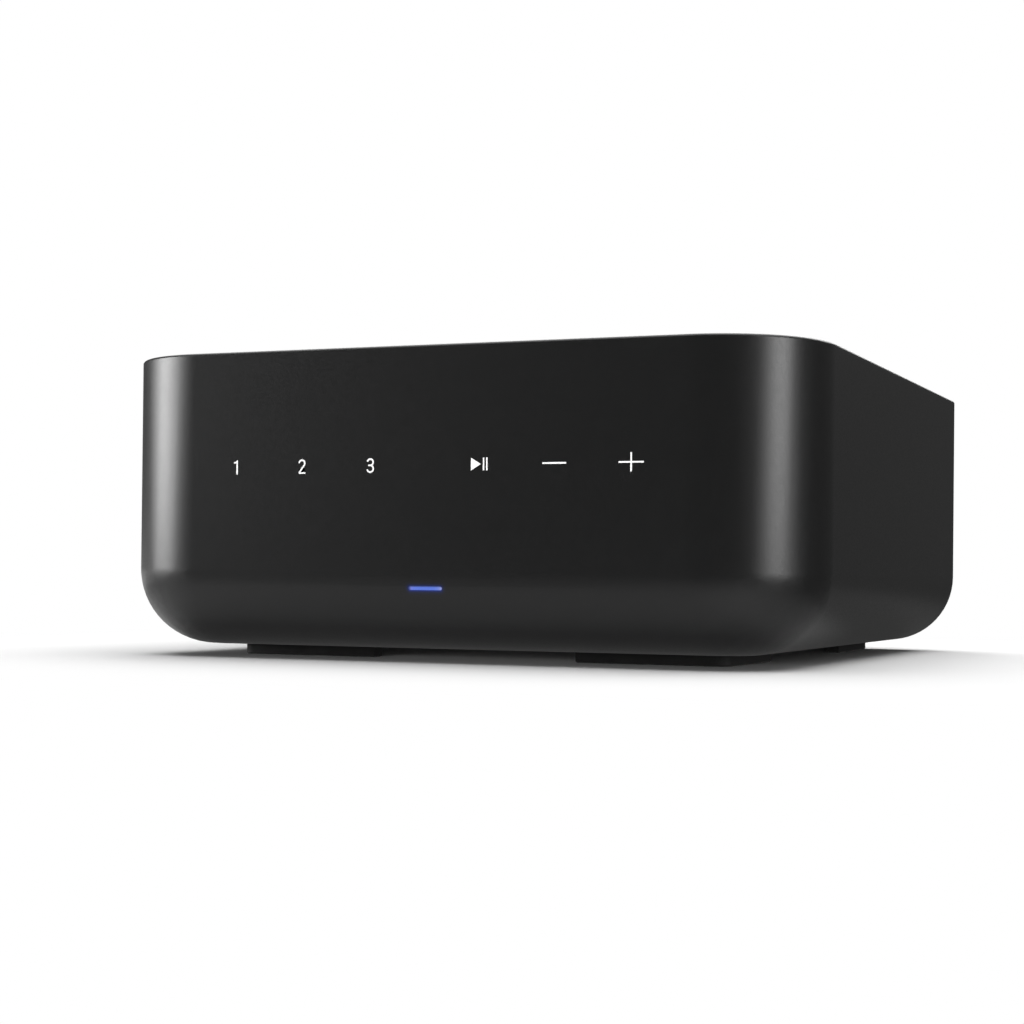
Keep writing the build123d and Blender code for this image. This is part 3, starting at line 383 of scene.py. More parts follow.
# Touch board, foam pads and status light: a green strip behind the front, six soft pads
# of conductive foam that carry a finger's touch to it, and one lamp on its tongue.
def board_finish(name, across, along, facing):
    """Fibreglass board: green mask over copper tracks, tinned pads, and buff cut edges."""
    block_across, block_along = 8.3 * mm, 6.7 * mm
    track_pitch, track_share, track_depth = 1.27 * mm, 0.36, 0.03 * mm
    busy_patch, busy_from = 20 * mm, 0.46
    pad_pitch, pad_share = 5.2 * mm, 0.11
    mask_green, track_green = (0.008, 0.085, 0.03), (0.018, 0.16, 0.055)
    tin, buff = (0.62, 0.6, 0.56), (0.33, 0.27, 0.13)
    finish = start_finish(name, (0.01, 0.09, 0.035), 0.3)
    tree, shader = inside(finish)
    spot = position(tree)
    u, v = spot[across], spot[along]
    blocks = node(tree, "CombineXYZ", {
        0: calc(tree, "FLOOR", calc(tree, "DIVIDE", u, block_across)),
        1: calc(tree, "FLOOR", calc(tree, "DIVIDE", v, block_along)),
    })
    pick = node(tree, "TexWhiteNoise", {"Vector": blocks.outputs[0]}).outputs[0]
    lanes = [calc(tree, "FRACT", calc(tree, "DIVIDE", way, track_pitch)) for way in (u, v)]
    chosen = node(tree, "Mix", {
        0: calc(tree, "GREATER_THAN", pick, 0.5), 2: lanes[0], 3: lanes[1],
    })
    track = calc(tree, "LESS_THAN", chosen.outputs[0], track_share)
    busy = calc(tree, "GREATER_THAN", cloud(tree, busy_patch), busy_from)
    track = calc(tree, "MULTIPLY", track, busy)
    mask = blend_colours(tree, track, mask_green, track_green)
    cells = node(tree, "TexVoronoi", {
        "Vector": node(tree, "TexCoord").outputs["Object"], "Scale": 1 / pad_pitch,
    })
    pad = calc(tree, "LESS_THAN", cells.outputs["Distance"], pad_share)
    normal = node(tree, "SeparateXYZ", {0: node(tree, "NewGeometry").outputs["True Normal"]})
    cut = calc(tree, "LESS_THAN", calc(tree, "ABSOLUTE", normal.outputs[facing]), 0.5)
    pad = calc(tree, "MULTIPLY", pad, calc(tree, "SUBTRACT", 1, cut))
    face_colour = blend_colours(tree, pad, mask, tin)
    wear(tree, shader, "Base Color", blend_colours(tree, cut, face_colour, buff))
    wear(tree, shader, "Metallic", pad)
    mask_gloss = spread(tree, cloud(tree, 6 * mm), 0.24, 0.36)
    rough_edge = calc(tree, "MULTIPLY", cut, 0.4)
    wear(tree, shader, "Roughness", calc(tree, "ADD", mask_gloss, rough_edge))
    relief(tree, shader, track, track_depth)
    return finish


upright_board = board_finish("upright_board_green", 0, 2, 1)
dress(upright_board, "touch_board")
pad_foam = moulded(
    "pad_foam", (0.018, 0.018, 0.018), (0.045, 0.045, 0.045), 0.9,
    grain=0.6 * mm, grain_depth=0.1 * mm,
)
dress(pad_foam, "touch_pads")
lamp_white = moulded("lamp_white", (0.74, 0.74, 0.66), (0.85, 0.85, 0.78), 0.35)
dress(lamp_white, "status_light")


# Light guide: one moulding in diffusing acrylic. The lamp behind it lights the bar blue,
# strongest in the middle, and paler at both ends where the light leaves the pipe.
guide_half_length, guide_face_y = 5.1 * mm, -115.5 * mm
lit_blue = (0.056, 0.118, 0.5)
left_end_blue, right_end_blue = (0.2, 0.17, 0.55), (0.25, 0.27, 0.48)
guide = moulded("light_guide_blue", (0.03, 0.05, 0.16), (0.04, 0.06, 0.2), 0.4)
tree, shader = inside(guide)
x, y, z = position(tree)
to_end = calc(tree, "DIVIDE", calc(tree, "ABSOLUTE", x), guide_half_length)
end_share = calc(tree, "POWER", to_end, 5.0)
left_side = calc(tree, "LESS_THAN", x, 0)
end_blue = blend_colours(tree, left_side, right_end_blue, left_end_blue)
wear(tree, shader, "Emission Color", blend_colours(tree, end_share, lit_blue, end_blue))
edge = ramp(tree, apart(tree, z, light_bar_z), 0.3 * mm, 0.54 * mm, 1, 0.15)
left_tip = ramp(tree, x, -4.9 * mm, -4.2 * mm, 0.05, 1)
front_face = calc(tree, "LESS_THAN", y, guide_face_y)
shine = calc(tree, "MULTIPLY", calc(tree, "MULTIPLY", edge, left_tip), front_face)
wear(tree, shader, "Emission Strength", shine)
dress(guide, "light_guide")


# Tray and its screws: sheet steel with a bright zinc plate, screwed to bosses on the
# floor. Rolling leaves faint streaks along the sheet, and the plate has soft clouds.
def metal(name, dark, light, roughness, streak=0.6 * mm, stretch=(1, 1, 1), depth=0.003 * mm):
    """Metal with clouded tone and fine marks drawn out along the way it was worked."""
    finish = start_finish(name, light, roughness, metallic=1.0)
    tree, shader = inside(finish)
    tone = spread(tree, cloud(tree, 8 * mm, detail=4), 0, 1)
    wear(tree, shader, "Base Color", blend_colours(tree, tone, dark, light))
    marks = cloud(tree, streak, stretch)
    wear(tree, shader, "Roughness", spread(tree, marks, roughness * 0.75, roughness * 1.3))
    relief(tree, shader, marks, depth)
    return finish


zinc_steel = metal("zinc_steel", (0.5, 0.5, 0.47), (0.62, 0.62, 0.63), 0.34, stretch=(1, 0.05, 1))
dress(zinc_steel, "tray")
zinc_screws = metal("zinc_screws", (0.46, 0.45, 0.42), (0.64, 0.64, 0.66), 0.28)
dress(zinc_screws, "tray_screws", "board_screws")


# Standoffs: hexagon brass bar, cut to length and tapped for the boards' screws. The tool
# marks run round each one.
spacer_brass = metal(
    "spacer_brass", (0.52, 0.36, 0.15), (0.74, 0.56, 0.27), 0.26, stretch=(0.1, 0.1, 1),
)
dress(spacer_brass, "short_standoffs", "tall_standoffs")


# Level boards: the power and amplifier boards on the tray, the main board above them.
# All three are green fibreglass with the copper tracks showing through the mask.
level_board = board_finish("level_board_green", 0, 1, 2)
dress(level_board, "power_board", "amplifier_board", "main_board")


# Transformer: a dark ferrite core in two halves, and a winding wrapped in turns of
# yellow polyester tape, whose edges show as fine level lines.
core_ferrite = moulded(
    "core_ferrite", (0.025, 0.025, 0.027), (0.06, 0.06, 0.062), 0.5,
    grain=0.2 * mm, grain_depth=0.01 * mm,
)
dress(core_ferrite, "transformer_core")
tape_step, tape_depth = 2.1 * mm, 0.12 * mm
winding_tape = moulded(
    "winding_tape", (0.62, 0.4, 0.03), (0.78, 0.56, 0.07), 0.22, grain_depth=0.001 * mm,
)
tree, shader = inside(winding_tape)
tape_edge = calc(tree, "PINGPONG", position(tree)[2], tape_step)
relief(tree, shader, calc(tree, "DIVIDE", tape_edge, tape_step), tape_depth)
dress(winding_tape, "transformer_winding")


# Bulk capacitors: aluminium cans in a dark shrink sleeve. The sleeve stops short of the
# end, which is bare and scored with a cross so that it can vent.
can_x, can_pair_y, can_pitch = -30.0 * mm, 21.5 * mm, 27.0 * mm
bare_radius, bare_above = 9.4 * mm, 54.0 * mm
score_half, score_reach, score_depth = 0.3 * mm, 7.0 * mm, 0.3 * mm
can_aluminium = (0.66, 0.66, 0.67)
sleeve = moulded("capacitor_sleeve", (0.008, 0.009, 0.02), (0.014, 0.015, 0.03), 0.25)
tree, shader = inside(sleeve)
x, y, z = position(tree)
off_x = apart(tree, x, can_x)
off_y = apart(tree, apart(tree, y, can_pair_y), can_pitch / 2)
from_axis = diagonal(tree, off_x, off_y)
near_axis = calc(tree, "LESS_THAN", from_axis, bare_radius)
bare = calc(tree, "MULTIPLY", near_axis, calc(tree, "GREATER_THAN", z, bare_above))
on_cross = calc(tree, "LESS_THAN", calc(tree, "MINIMUM", off_x, off_y), score_half)
score = calc(tree, "MULTIPLY", on_cross, calc(tree, "LESS_THAN", from_axis, score_reach))
recolour(tree, shader, bare, can_aluminium)
wear(tree, shader, "Metallic", bare)
unscored = calc(tree, "SUBTRACT", 1, calc(tree, "MULTIPLY", score, bare))
relief(tree, shader, unscored, score_depth)
dress(sleeve, "bulk_capacitors")


# Filter choke: a ring core coated in green, with copper wire wound round it in two
# halves. It lies flat on the power board, in line with the mains inlet.
choke_x, choke_y = -66.0 * mm, 59.5 * mm
wire_turns, wire_depth, bare_share = 42, 0.4 * mm, 0.35
core_green, copper_painted_shade, copper_light = (0.02, 0.11, 0.05), (0.09, 0.02, 0.008), (0.62, 0.24, 0.1)
choke = start_finish("filter_choke", (0.3, 0.12, 0.05), 0.3)
tree, shader = inside(choke)
x, y = position(tree)[:2]
around_ring = calc(
    tree, "ARCTAN2", calc(tree, "SUBTRACT", y, choke_y), calc(tree, "SUBTRACT", x, choke_x),
)
lobes = calc(tree, "SINE", calc(tree, "MULTIPLY", around_ring, wire_turns / 2))
wires = calc(tree, "ABSOLUTE", lobes)
to_side = calc(tree, "ABSOLUTE", calc(tree, "COSINE", around_ring))
wound = calc(tree, "GREATER_THAN", to_side, bare_share)
# The copper is painted dark between the turns, as painted shade in the grooves, and a bump gives the
# turns their shape.
copper = blend_colours(tree, wires, copper_painted_shade, copper_light)
wear(tree, shader, "Base Color", blend_colours(tree, wound, core_green, copper))
wear(tree, shader, "Metallic", calc(tree, "MULTIPLY", wound, 0.8))
wear(tree, shader, "Roughness", spread(tree, cloud(tree, 2 * mm), 0.22, 0.4))
relief(tree, shader, calc(tree, "MULTIPLY", wires, wound), wire_depth)
dress(choke, "filter_choke")


# Coolers: lengths of extruded aluminium, left bare, with die lines along the extrusion.
# The power supply's stands on edge, and the amplifier's lies on its two chips.
die_dark, die_light = (0.5, 0.5, 0.51), (0.66, 0.66, 0.67)
cooler_aluminium = metal("cooler_aluminium", die_dark, die_light, 0.32, stretch=(1, 1, 0.04))
dress(cooler_aluminium, "power_cooler")
sink_aluminium = metal("sink_aluminium", die_dark, die_light, 0.32, stretch=(1, 0.04, 1))
dress(sink_aluminium, "heat_sink")


# Mains fuse: a clear glass tube closed by two nickel-plated cups, with the fine wire
# between them that melts.
def join_rows(form, rows, capped=True):
    """Skins rows of corners, and closes both ends or joins the last row to the first."""
    pairs = list(zip(rows, rows[1:]))
    if not capped:
        pairs.append((rows[-1], rows[0]))
    for first, second in pairs:
        for n in range(len(first)):
            m = (n + 1) % len(first)
            form.faces.new((first[n], first[m], second[m], second[n]))
    if capped:
        form.faces.new(rows[0][::-1])
        form.faces.new(rows[-1])


def lathe(form, rings, centre, upright=False, sides=32, capped=True):
    """Turns a profile of (along, radius) steps round a level Y axis, or an upright one."""
    rows = []
    for along, radius in rings:
        row = []
        for n in range(sides):
            turn_angle = 2 * math.pi * n / sides
            a, b = radius * math.cos(turn_angle), radius * math.sin(turn_angle)
            spot = (a, b, along) if upright else (a, along, b)
            row.append(form.verts.new(Vector(centre) + Vector(spot)))
        rows.append(row)
    join_rows(form, rows, capped)


fuse_axis = (-34.0 * mm, 0, 22.0 * mm)
fuse_low, fuse_high = 48.5 * mm, 68.5 * mm
glass_inset, glass_outer, glass_inner = 0.4 * mm, 2.4 * mm, 1.9 * mm
cup_outer, cup_inner, cup_length = 2.7 * mm, 2.41 * mm, 5 * mm
cup_face_radius, cup_bevel, cup_end = 2.35 * mm, 0.25 * mm, 0.35 * mm
wire_inset, wire_radius = 0.3 * mm, 0.15 * mm
glass_low, glass_high = fuse_low + glass_inset, fuse_high - glass_inset
form = bmesh.new()
lathe(form, [
    (glass_low, glass_outer), (glass_high, glass_outer),
    (glass_high, glass_inner), (glass_low, glass_inner),
], fuse_axis, capped=False)
tube_glass = start_finish("fuse_glass", (0.95, 0.97, 0.98), 0.05)
tree, shader = inside(tube_glass)
shader.inputs["Transmission Weight"].default_value = 1.0
wear(tree, shader, "Roughness", spread(tree, cloud(tree, 3 * mm), 0.02, 0.09))
fuse_tube = fit_piece("fuse_tube", form, tube_glass)
nickel_dark, nickel_light = (0.52, 0.5, 0.46), (0.7, 0.68, 0.64)
nickel = metal("nickel_plate", nickel_dark, nickel_light, 0.2)
form = bmesh.new()
for end, inward in ((fuse_low, 1), (fuse_high, -1)):
    lathe(form, [
        (end, cup_face_radius), (end + inward * cup_bevel, cup_outer),
        (end + inward * cup_length, cup_outer), (end + inward * cup_length, cup_inner),
        (end + inward * cup_end, cup_inner),
    ], fuse_axis)
fuse_cups = fit_piece("fuse_cups", form, nickel)
form = bmesh.new()
wire_ends = [(fuse_low + wire_inset, wire_radius), (fuse_high - wire_inset, wire_radius)]
lathe(form, wire_ends, fuse_axis, sides=10)
fuse_wire = fit_piece("fuse_wire", form, nickel)
for piece in (fuse_tube, fuse_cups, fuse_wire):
    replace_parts(piece, "fuse")


# Supply wires: three stranded wires in soft PVC between the two lower boards, red for
# the supply and black for its return.
return_wire_y, return_wire_reach = 52.5 * mm, 1.5 * mm
supply_wire = moulded("supply_wire", (0.4, 0.02, 0.015), (0.5, 0.035, 0.025), 0.35, grain=1 * mm)
tree, shader = inside(supply_wire)
return_wire = calc(tree, "COMPARE", position(tree)[1], return_wire_y, return_wire_reach)
recolour(tree, shader, return_wire, (0.012, 0.012, 0.012))
dress(supply_wire, "supply_wires")


# Amplifier chips and output coils: epoxy packages with a fine matt grain, and shielded
# coils in pressed ferrite, a shade lighter and smoother.
chip_black = moulded(
    "chip_black", (0.014, 0.014, 0.015), (0.026, 0.026, 0.027), 0.55,
    grain=0.15 * mm, grain_depth=0.008 * mm,
)
dress(chip_black, "amplifier_chips")
coil_ferrite = moulded(
    "coil_ferrite", (0.04, 0.04, 0.042), (0.08, 0.08, 0.083), 0.45, grain=0.25 * mm,
)
dress(coil_ferrite, "output_coils")


# Shield can and radio module: tin-plated sheet, folded over the processor and over the
# radio. The rolling marks run one way and the plate is clouded by handling. The speaker
# terminals' tags have the same plate.
tin_plate = metal("tin_plate", (0.52, 0.52, 0.5), (0.68, 0.68, 0.67), 0.3, stretch=(0.06, 1, 1))
dress(tin_plate, "shield_can", "radio_module", "terminal_tags")


# Aerials and their leads: two strips of green board stuck inside the side walls, each
# fed by a thin black coaxial lead from the radio.
side_board = board_finish("side_board_green", 1, 2, 0)
dress(side_board, "antennas")
lead_black = moulded("lead_black", (0.012, 0.012, 0.012), (0.02, 0.02, 0.02), 0.4, grain=1 * mm)
dress(lead_black, "antenna_leads")


# Ribbon cables: flat flexible cable in white film, with the flat copper conductors
# showing through as darker lines one millimetre apart.
conductor_pitch, conductor_share, conductor_depth = 1.0 * mm, 0.6, 0.04 * mm
ribbon = moulded("ribbon_film", (0.6, 0.6, 0.57), (0.7, 0.7, 0.68), 0.35, grain=1 * mm)
tree, shader = inside(ribbon)
lane = calc(tree, "FRACT", calc(tree, "DIVIDE", position(tree)[0], conductor_pitch))
conductor = calc(tree, "LESS_THAN", lane, conductor_share)
recolour(tree, shader, conductor, (0.46, 0.42, 0.36))
relief(tree, shader, conductor, conductor_depth)
dress(ribbon, "ribbon_cables")


# Rear panel: sheet steel, punched for the sockets and painted satin black. The paint
# has a slight orange peel.
panel_paint = moulded(
    "panel_paint", (0.013, 0.013, 0.014), (0.018, 0.018, 0.019), 0.36,
    grain=0.9 * mm, grain_depth=0.016 * mm,
)
dress(panel_paint, "rear_panel")


# Panel screws: four black steel machine screws with domed heads and a cross recess. They
# go through the panel near its sides, into long bosses in the tub.
screw_places = [(side * 101.3 * mm, height * mm) for side in (-1, 1) for height in (30, 78)]
panel_y = 98.5 * mm
head_radius, head_height, head_bevel = 2.8 * mm, 1.8 * mm, 0.1 * mm
shank_radius, shank_length, tip_length = 1.45 * mm, 7.0 * mm, 0.4 * mm
arm_half, arm_reach, recess_depth = 0.36 * mm, 1.5 * mm, 1.1 * mm
tip_y, head_y = panel_y - shank_length, panel_y + head_height
turned_levels = [
    (tip_y, shank_radius * 0.8), (tip_y + tip_length, shank_radius), (panel_y, shank_radius),
    (panel_y, head_radius - head_bevel), (panel_y + head_bevel, head_radius),
    (panel_y + 0.35 * head_height, head_radius),
    (panel_y + 0.62 * head_height, head_radius * 0.93),
    (panel_y + 0.84 * head_height, head_radius * 0.78),
    (panel_y + 0.96 * head_height, head_radius * 0.6),
]
recess_levels = [(head_y, 1), (head_y - recess_depth, 0.75)]
corner_angle = math.atan2(arm_half, arm_reach)
eighth, quarter_turn = math.pi / 4, math.pi / 2
recess_angles = [
    quarter * quarter_turn + step
    for quarter in range(4)
    for step in (-eighth, -0.55, -0.4, -corner_angle, 0, corner_angle, 0.4, 0.55)
]


def cross_reach(turn_angle):
    """How far the cross recess reaches in this direction."""
    off = (turn_angle + eighth) % quarter_turn - eighth
    if abs(off) <= corner_angle + 1e-6:
        return arm_reach / math.cos(off)
    return arm_half / abs(math.sin(off))


cross = [cross_reach(a) for a in recess_angles]
profile = [(level_y, [radius] * len(cross)) for level_y, radius in turned_levels]
profile += [(level_y, [reach * share for reach in cross]) for level_y, share in recess_levels]
form = bmesh.new()
for screw_x, screw_z in screw_places:
    rows = []
    for level_y, reaches in profile:
        rows.append([
            form.verts.new((screw_x + reach * math.cos(a), level_y, screw_z + reach * math.sin(a)))
            for a, reach in zip(recess_angles, reaches)
        ])
    join_rows(form, rows)
black_steel = metal(
    "black_steel", (0.02, 0.02, 0.021), (0.045, 0.045, 0.048), 0.38, streak=0.4 * mm,
)
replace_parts(fit_piece("cross_recess_screws", form, black_steel), "panel_screws")


# Speaker posts: gold-plated brass, threaded from end to end, with a 4 mm bore in the
# end and a cross hole for bare wire. Each goes through the panel in two insulators.
post_pitch = 19.05 * mm
post_places = [pair + side * post_pitch / 2 for pair in (21.5 * mm, 63.5 * mm) for side in (-1, 1)]
post_z = 33.0 * mm
post_low, post_high = 89.5 * mm, 117.2 * mm
crest, root_radius, thread_pitch = 3.4 * mm, 2.98 * mm, 0.75 * mm
flank_slope, run_out, end_chamfer = 2.2, 0.6 * mm, 0.25 * mm
bore_radius, bore_floor, bore_bevel = 2.05 * mm, 105.0 * mm, 0.3 * mm
cone_height, cone_tip = 0.5 * mm, 0.3 * mm
hole_y, hole_radius, drill_half = 102.9 * mm, 1.4 * mm, 5 * mm
post_sides, rows_per_turn = 36, 8


def post_row(post_form, along, radii):
    """A ring of corners round the post's axis, at one place along it."""
    row = []
    for n, radius in enumerate(radii):
        a = 2 * math.pi * n / post_sides
        row.append(post_form.verts.new((radius * math.cos(a), along, radius * math.sin(a))))
    return row


def loose_object(name, loose_form):
    """An object of a filled form, for cutting with or for being cut."""
    bmesh.ops.recalc_face_normals(loose_form, faces=loose_form.faces)
    mesh = bpy.data.meshes.new(name)
    loose_form.to_mesh(mesh)
    loose_form.free()
    loose = bpy.data.objects.new(name, mesh)
    bpy.context.scene.collection.objects.link(loose)
    return loose


def threaded_post():
    """One post on the axis, as a closed mesh, with its thread, bore and cross hole."""
    post_form = bmesh.new()
    rows = []
    thread_height, end_radius = crest - root_radius, root_radius - end_chamfer
    count = round((post_high - post_low) / thread_pitch * rows_per_turn)
    for step in range(count + 1):
        along = post_low + (post_high - post_low) * step / count
        ends = min(1, min(along - post_low, post_high - along) / run_out)
        widest = end_radius + (thread_height + end_chamfer) * ends
        radii = []
        for n in range(post_sides):
            phase = (along / thread_pitch - n / post_sides) % 1
            height = min(1.0, flank_slope * min(phase, 1 - phase))
            radii.append(min(root_radius + thread_height * height, widest))
        rows.append(post_row(post_form, along, radii))
    for along, radius in (
        (post_high, bore_radius + bore_bevel), (post_high - bore_bevel, bore_radius),
        (bore_floor + cone_height, bore_radius), (bore_floor, cone_tip),
    ):
        rows.append(post_row(post_form, along, [radius] * post_sides))
    join_rows(post_form, rows)
    blank = loose_object("post_blank", post_form)
    drill_form = bmesh.new()
    drill_ends = [(-drill_half, hole_radius), (drill_half, hole_radius)]
    lathe(drill_form, drill_ends, (0, hole_y, 0), upright=True, sides=28)
    drill = loose_object("post_drill", drill_form)
    cut = blank.modifiers.new("cross_hole", "BOOLEAN")
    cut.operation = "DIFFERENCE"
    cut.solver = "EXACT"
    cut.object = drill
    done = bpy.data.meshes.new_from_object(
        blank.evaluated_get(bpy.context.evaluated_depsgraph_get())
    )
    for item in (blank, drill):
        bpy.data.objects.remove(item)
    return done


one_post = threaded_post()
form = bmesh.new()
for post_x in post_places:
    before = len(form.verts)
    form.from_mesh(one_post)
    form.verts.ensure_lookup_table()
    bmesh.ops.translate(form, vec=(post_x, 0, post_z), verts=form.verts[before:])
bpy.data.meshes.remove(one_post)
gold_plate = metal(
    "gold_plate", (0.66, 0.42, 0.13), (0.86, 0.61, 0.24), 0.18, stretch=(0.3, 1, 0.3),
)
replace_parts(fit_piece("threaded_speaker_posts", form, gold_plate), "speaker_posts")


# Terminal washers, caps, insulators and nuts: each gold-plated washer slides on its post
# and clamps the wire. The caps are glossy mouldings, red for plus and black for minus.
# The insulators are black, and the nuts inside are nickel-plated.
cap_red = moulded("cap_red", (0.3, 0.008, 0.008), (0.38, 0.013, 0.012), 0.24, grain=0.6 * mm)
cap_black = moulded("cap_black", (0.011, 0.011, 0.011), (0.016, 0.016, 0.016), 0.24, grain=0.6 * mm)
for side in ("right", "left"):
    dress(gold_plate, f"washer_{side}_plus", f"washer_{side}_minus")
    dress(cap_red, f"cap_{side}_plus")
    dress(cap_black, f"cap_{side}_minus")
insulator_black = moulded("insulator_black", (0.012, 0.012, 0.012), (0.018, 0.018, 0.018), 0.4)
dress(insulator_black, "terminal_insulators")
dress(nickel, "terminal_nuts")


# Mains inlet: a black socket moulding behind the panel, with three nickel-plated blades
# in its pocket.
inlet_black = moulded(
    "inlet_black", (0.013, 0.013, 0.013), (0.02, 0.02, 0.02), 0.42,
    grain=0.4 * mm, grain_depth=0.008 * mm,
)
dress(inlet_black, "mains_inlet")
blade_nickel = metal("blade_nickel", nickel_dark, nickel_light, 0.24, stretch=(1, 0.06, 1))
dress(blade_nickel, "inlet_blades")


# Network socket: a black moulding with eight gold-plated spring wires, which run down
# and back from the roof of its mouth. The other black socket parts share its plastic.
socket_black = moulded(
    "socket_black", (0.012, 0.012, 0.012), (0.019, 0.019, 0.019), 0.34, grain=0.5 * mm,
)
dress(socket_black, "network_socket", "optical_socket", "phono_block", "contact_tongues", "button_switch")


def strip(form, path, width, thick):
    """A flat spring along a path of points, with its width level across the socket."""
    across = Vector((1, 0, 0))
    side = across * (width / 2)
    rows = []
    for n, point in enumerate(path):
        along = path[min(n + 1, len(path) - 1)] - path[max(n - 1, 0)]
        up = along.normalized().cross(across) * (thick / 2)
        rows.append([
            form.verts.new(point + a * side + b * up)
            for a, b in ((-1, -1), (1, -1), (1, 1), (-1, 1))
        ])
    join_rows(form, rows)


network_x, spring_pitch, spring_count = 84.0, 1.02, 8
spring_width, spring_thickness = 0.46 * mm, 0.3 * mm
spring_line = [
    (97.6, 61.95), (97.1, 61.7), (96.2, 61.15), (94.0, 60.2), (91.0, 59.1), (88.2, 58.2),
    (87.0, 57.9), (86.2, 57.95),
]
form = bmesh.new()
for n in range(spring_count):
    spring_x = network_x + (n - (spring_count - 1) / 2) * spring_pitch
    path = [Vector((spring_x, a, b)) * mm for a, b in spring_line]
    strip(form, path, spring_width, spring_thickness)
fit_piece("network_springs", form, gold_plate)


# USB and HDMI sockets: folded and nickel-plated steel shells round black tongues, which
# carry gold-plated contact strips. The HDMI tongue has a row above and a row below it,
# half a step apart.
shell_nickel = metal(
    "shell_nickel", (0.5, 0.49, 0.46), (0.68, 0.67, 0.64), 0.28, stretch=(0.06, 1, 1),
)
dress(shell_nickel, "usb_socket", "hdmi_socket")
contact_tip_y = 95.9
usb_x, usb_pitch, usb_count = 65.5, 2.25, 4
usb_back_y, usb_contact_z = 87.4, 54.48
usb_width, usb_thickness = 1.1 * mm, 0.12 * mm
hdmi_x, hdmi_pitch, hdmi_count = 48.5, 0.98, 10
hdmi_back_y, hdmi_contact_z, hdmi_drop = 89.3, 54.99, 0.98
hdmi_width, hdmi_thickness = 0.45 * mm, 0.1 * mm
form = bmesh.new()
for n in range(usb_count):
    contact_x = usb_x + (n - (usb_count - 1) / 2) * usb_pitch
    path = [Vector((contact_x, a, usb_contact_z)) * mm for a in (usb_back_y, contact_tip_y)]
    strip(form, path, usb_width, usb_thickness)
for n in range(hdmi_count):
    for below in (0, 1):
        contact_x = hdmi_x + (n - (hdmi_count - 1) / 2 + below * 0.5 - 0.25) * hdmi_pitch
        contact_z = hdmi_contact_z - below * hdmi_drop
        path = [Vector((contact_x, a, contact_z)) * mm for a in (hdmi_back_y, contact_tip_y)]
        strip(form, path, hdmi_width, hdmi_thickness)
fit_piece("tongue_contacts", form, gold_plate)


# Optical socket's shutter: a grey moulded flap on two pins near its upper edge. A plug
# pushes it in and up, and a spring closes it again.
shutter_grey = moulded("shutter_grey", (0.055, 0.055, 0.056), (0.075, 0.075, 0.076), 0.4)
dress(shutter_grey, "optical_shutter")


# Phono sockets: gold-plated shells round moulded inserts, white for the left channel and
# red for the right, each with a gold-plated sleeve for the plug's pin.
phono_columns, phono_rows = (-4.0 * mm, 10.0 * mm), (58.6 * mm, 72.6 * mm)
sleeve_low, sleeve_high = 98.7 * mm, 106.2 * mm
sleeve_outer, sleeve_inner = 1.6 * mm, 1.38 * mm
insert_red = (0.42, 0.012, 0.01)
dress(gold_plate, "phono_shells")
insert = moulded("phono_insert", (0.68, 0.68, 0.66), (0.76, 0.76, 0.74), 0.32, grain=0.6 * mm)
tree, shader = inside(insert)
right_channel = calc(tree, "GREATER_THAN", position(tree)[0], sum(phono_columns) / 2)
recolour(tree, shader, right_channel, insert_red)
dress(insert, "phono_inserts")
form = bmesh.new()
for sleeve_x in phono_columns:
    for sleeve_z in phono_rows:
        lathe(form, [
            (sleeve_low, sleeve_outer), (sleeve_high, sleeve_outer),
            (sleeve_high, sleeve_inner), (sleeve_low, sleeve_inner),
        ], (sleeve_x, 0, sleeve_z), sides=24, capped=False)
fit_piece("phono_sleeves", form, gold_plate)


# Pairing button: a matt black pin that stands a little out of the panel. Pushed in, it
# presses a switch on the main board.
button_black = moulded("button_black", (0.014, 0.014, 0.014), (0.021, 0.021, 0.021), 0.5)
dress(button_black, "pairing_button")


# Floor: a plain pale sweep. It keeps the soft shadow under the case, and away from it it
# runs out into the white of the background. In reflections only, it is painted pale to the
# left of the case as painted light, with a faint painted glow, and dark to the right as a
# painted shadow.
half_width, half_depth = cad_box[1][:2]
fade_out = 130 * mm
paper_dark, paper_light = (0.84, 0.84, 0.84), (0.87, 0.87, 0.87)
painted_light_left, painted_shadow_right = (0.68, 0.68, 0.68), (0.04, 0.04, 0.04)
painted_glow_left, painted_glow_right = 0.12, 0.1
stage_form = bmesh.new()
bmesh.ops.create_grid(stage_form, x_segments=1, y_segments=1, size=6)
stage_mesh = bpy.data.meshes.new("floor")
stage_form.to_mesh(stage_mesh)
stage_form.free()
floor = bpy.data.objects.new("floor", stage_mesh)
bpy.context.scene.collection.objects.link(floor)
floor_white = bpy.data.materials.new("floor_white")
floor_white.use_nodes = True
tree = floor_white.node_tree
tree.nodes.clear()
ray = node(tree, "LightPath").outputs
x, y = position(tree)[:2]
paper = blend_colours(tree, cloud(tree, 50 * mm, detail=6), paper_dark, paper_light)
to_right = ramp(tree, calc(tree, "ADD", x, y), -20 * mm, 100 * mm, 0, 1)
# Painted reflection tone: the floor as mirrored is painted pale to the left as light, and dark to the
# right as shadow.
mirrored = blend_colours(tree, to_right, painted_light_left, painted_shadow_right)
paper = blend_colours(tree, ray["Is Glossy Ray"], paper, mirrored)
paper_shader = node(tree, "BsdfDiffuse", {"Color": paper})
# A faint painted glow, seen only in reflections, lifts the floor's shadow near the case.
painted_glow_level = ramp(tree, to_right, 0, 1, painted_glow_left, painted_glow_right)
painted_low_glow = node(tree, "Emission", {
    "Strength": calc(tree, "MULTIPLY", ray["Is Glossy Ray"], painted_glow_level),
})
near_case = node(tree, "AddShader", {0: paper_shader.outputs[0], 1: painted_low_glow.outputs[0]})


def backdrop_level(tree, ray, when_mirrored):
    """Full white for the eye and through glass, and a lower level in reflections."""
    clear = calc(tree, "MAXIMUM", ray["Is Camera Ray"], ray["Is Transmission Ray"])
    dimmed = calc(tree, "MULTIPLY", ray["Is Glossy Ray"], when_mirrored)
    return calc(tree, "MAXIMUM", clear, dimmed)
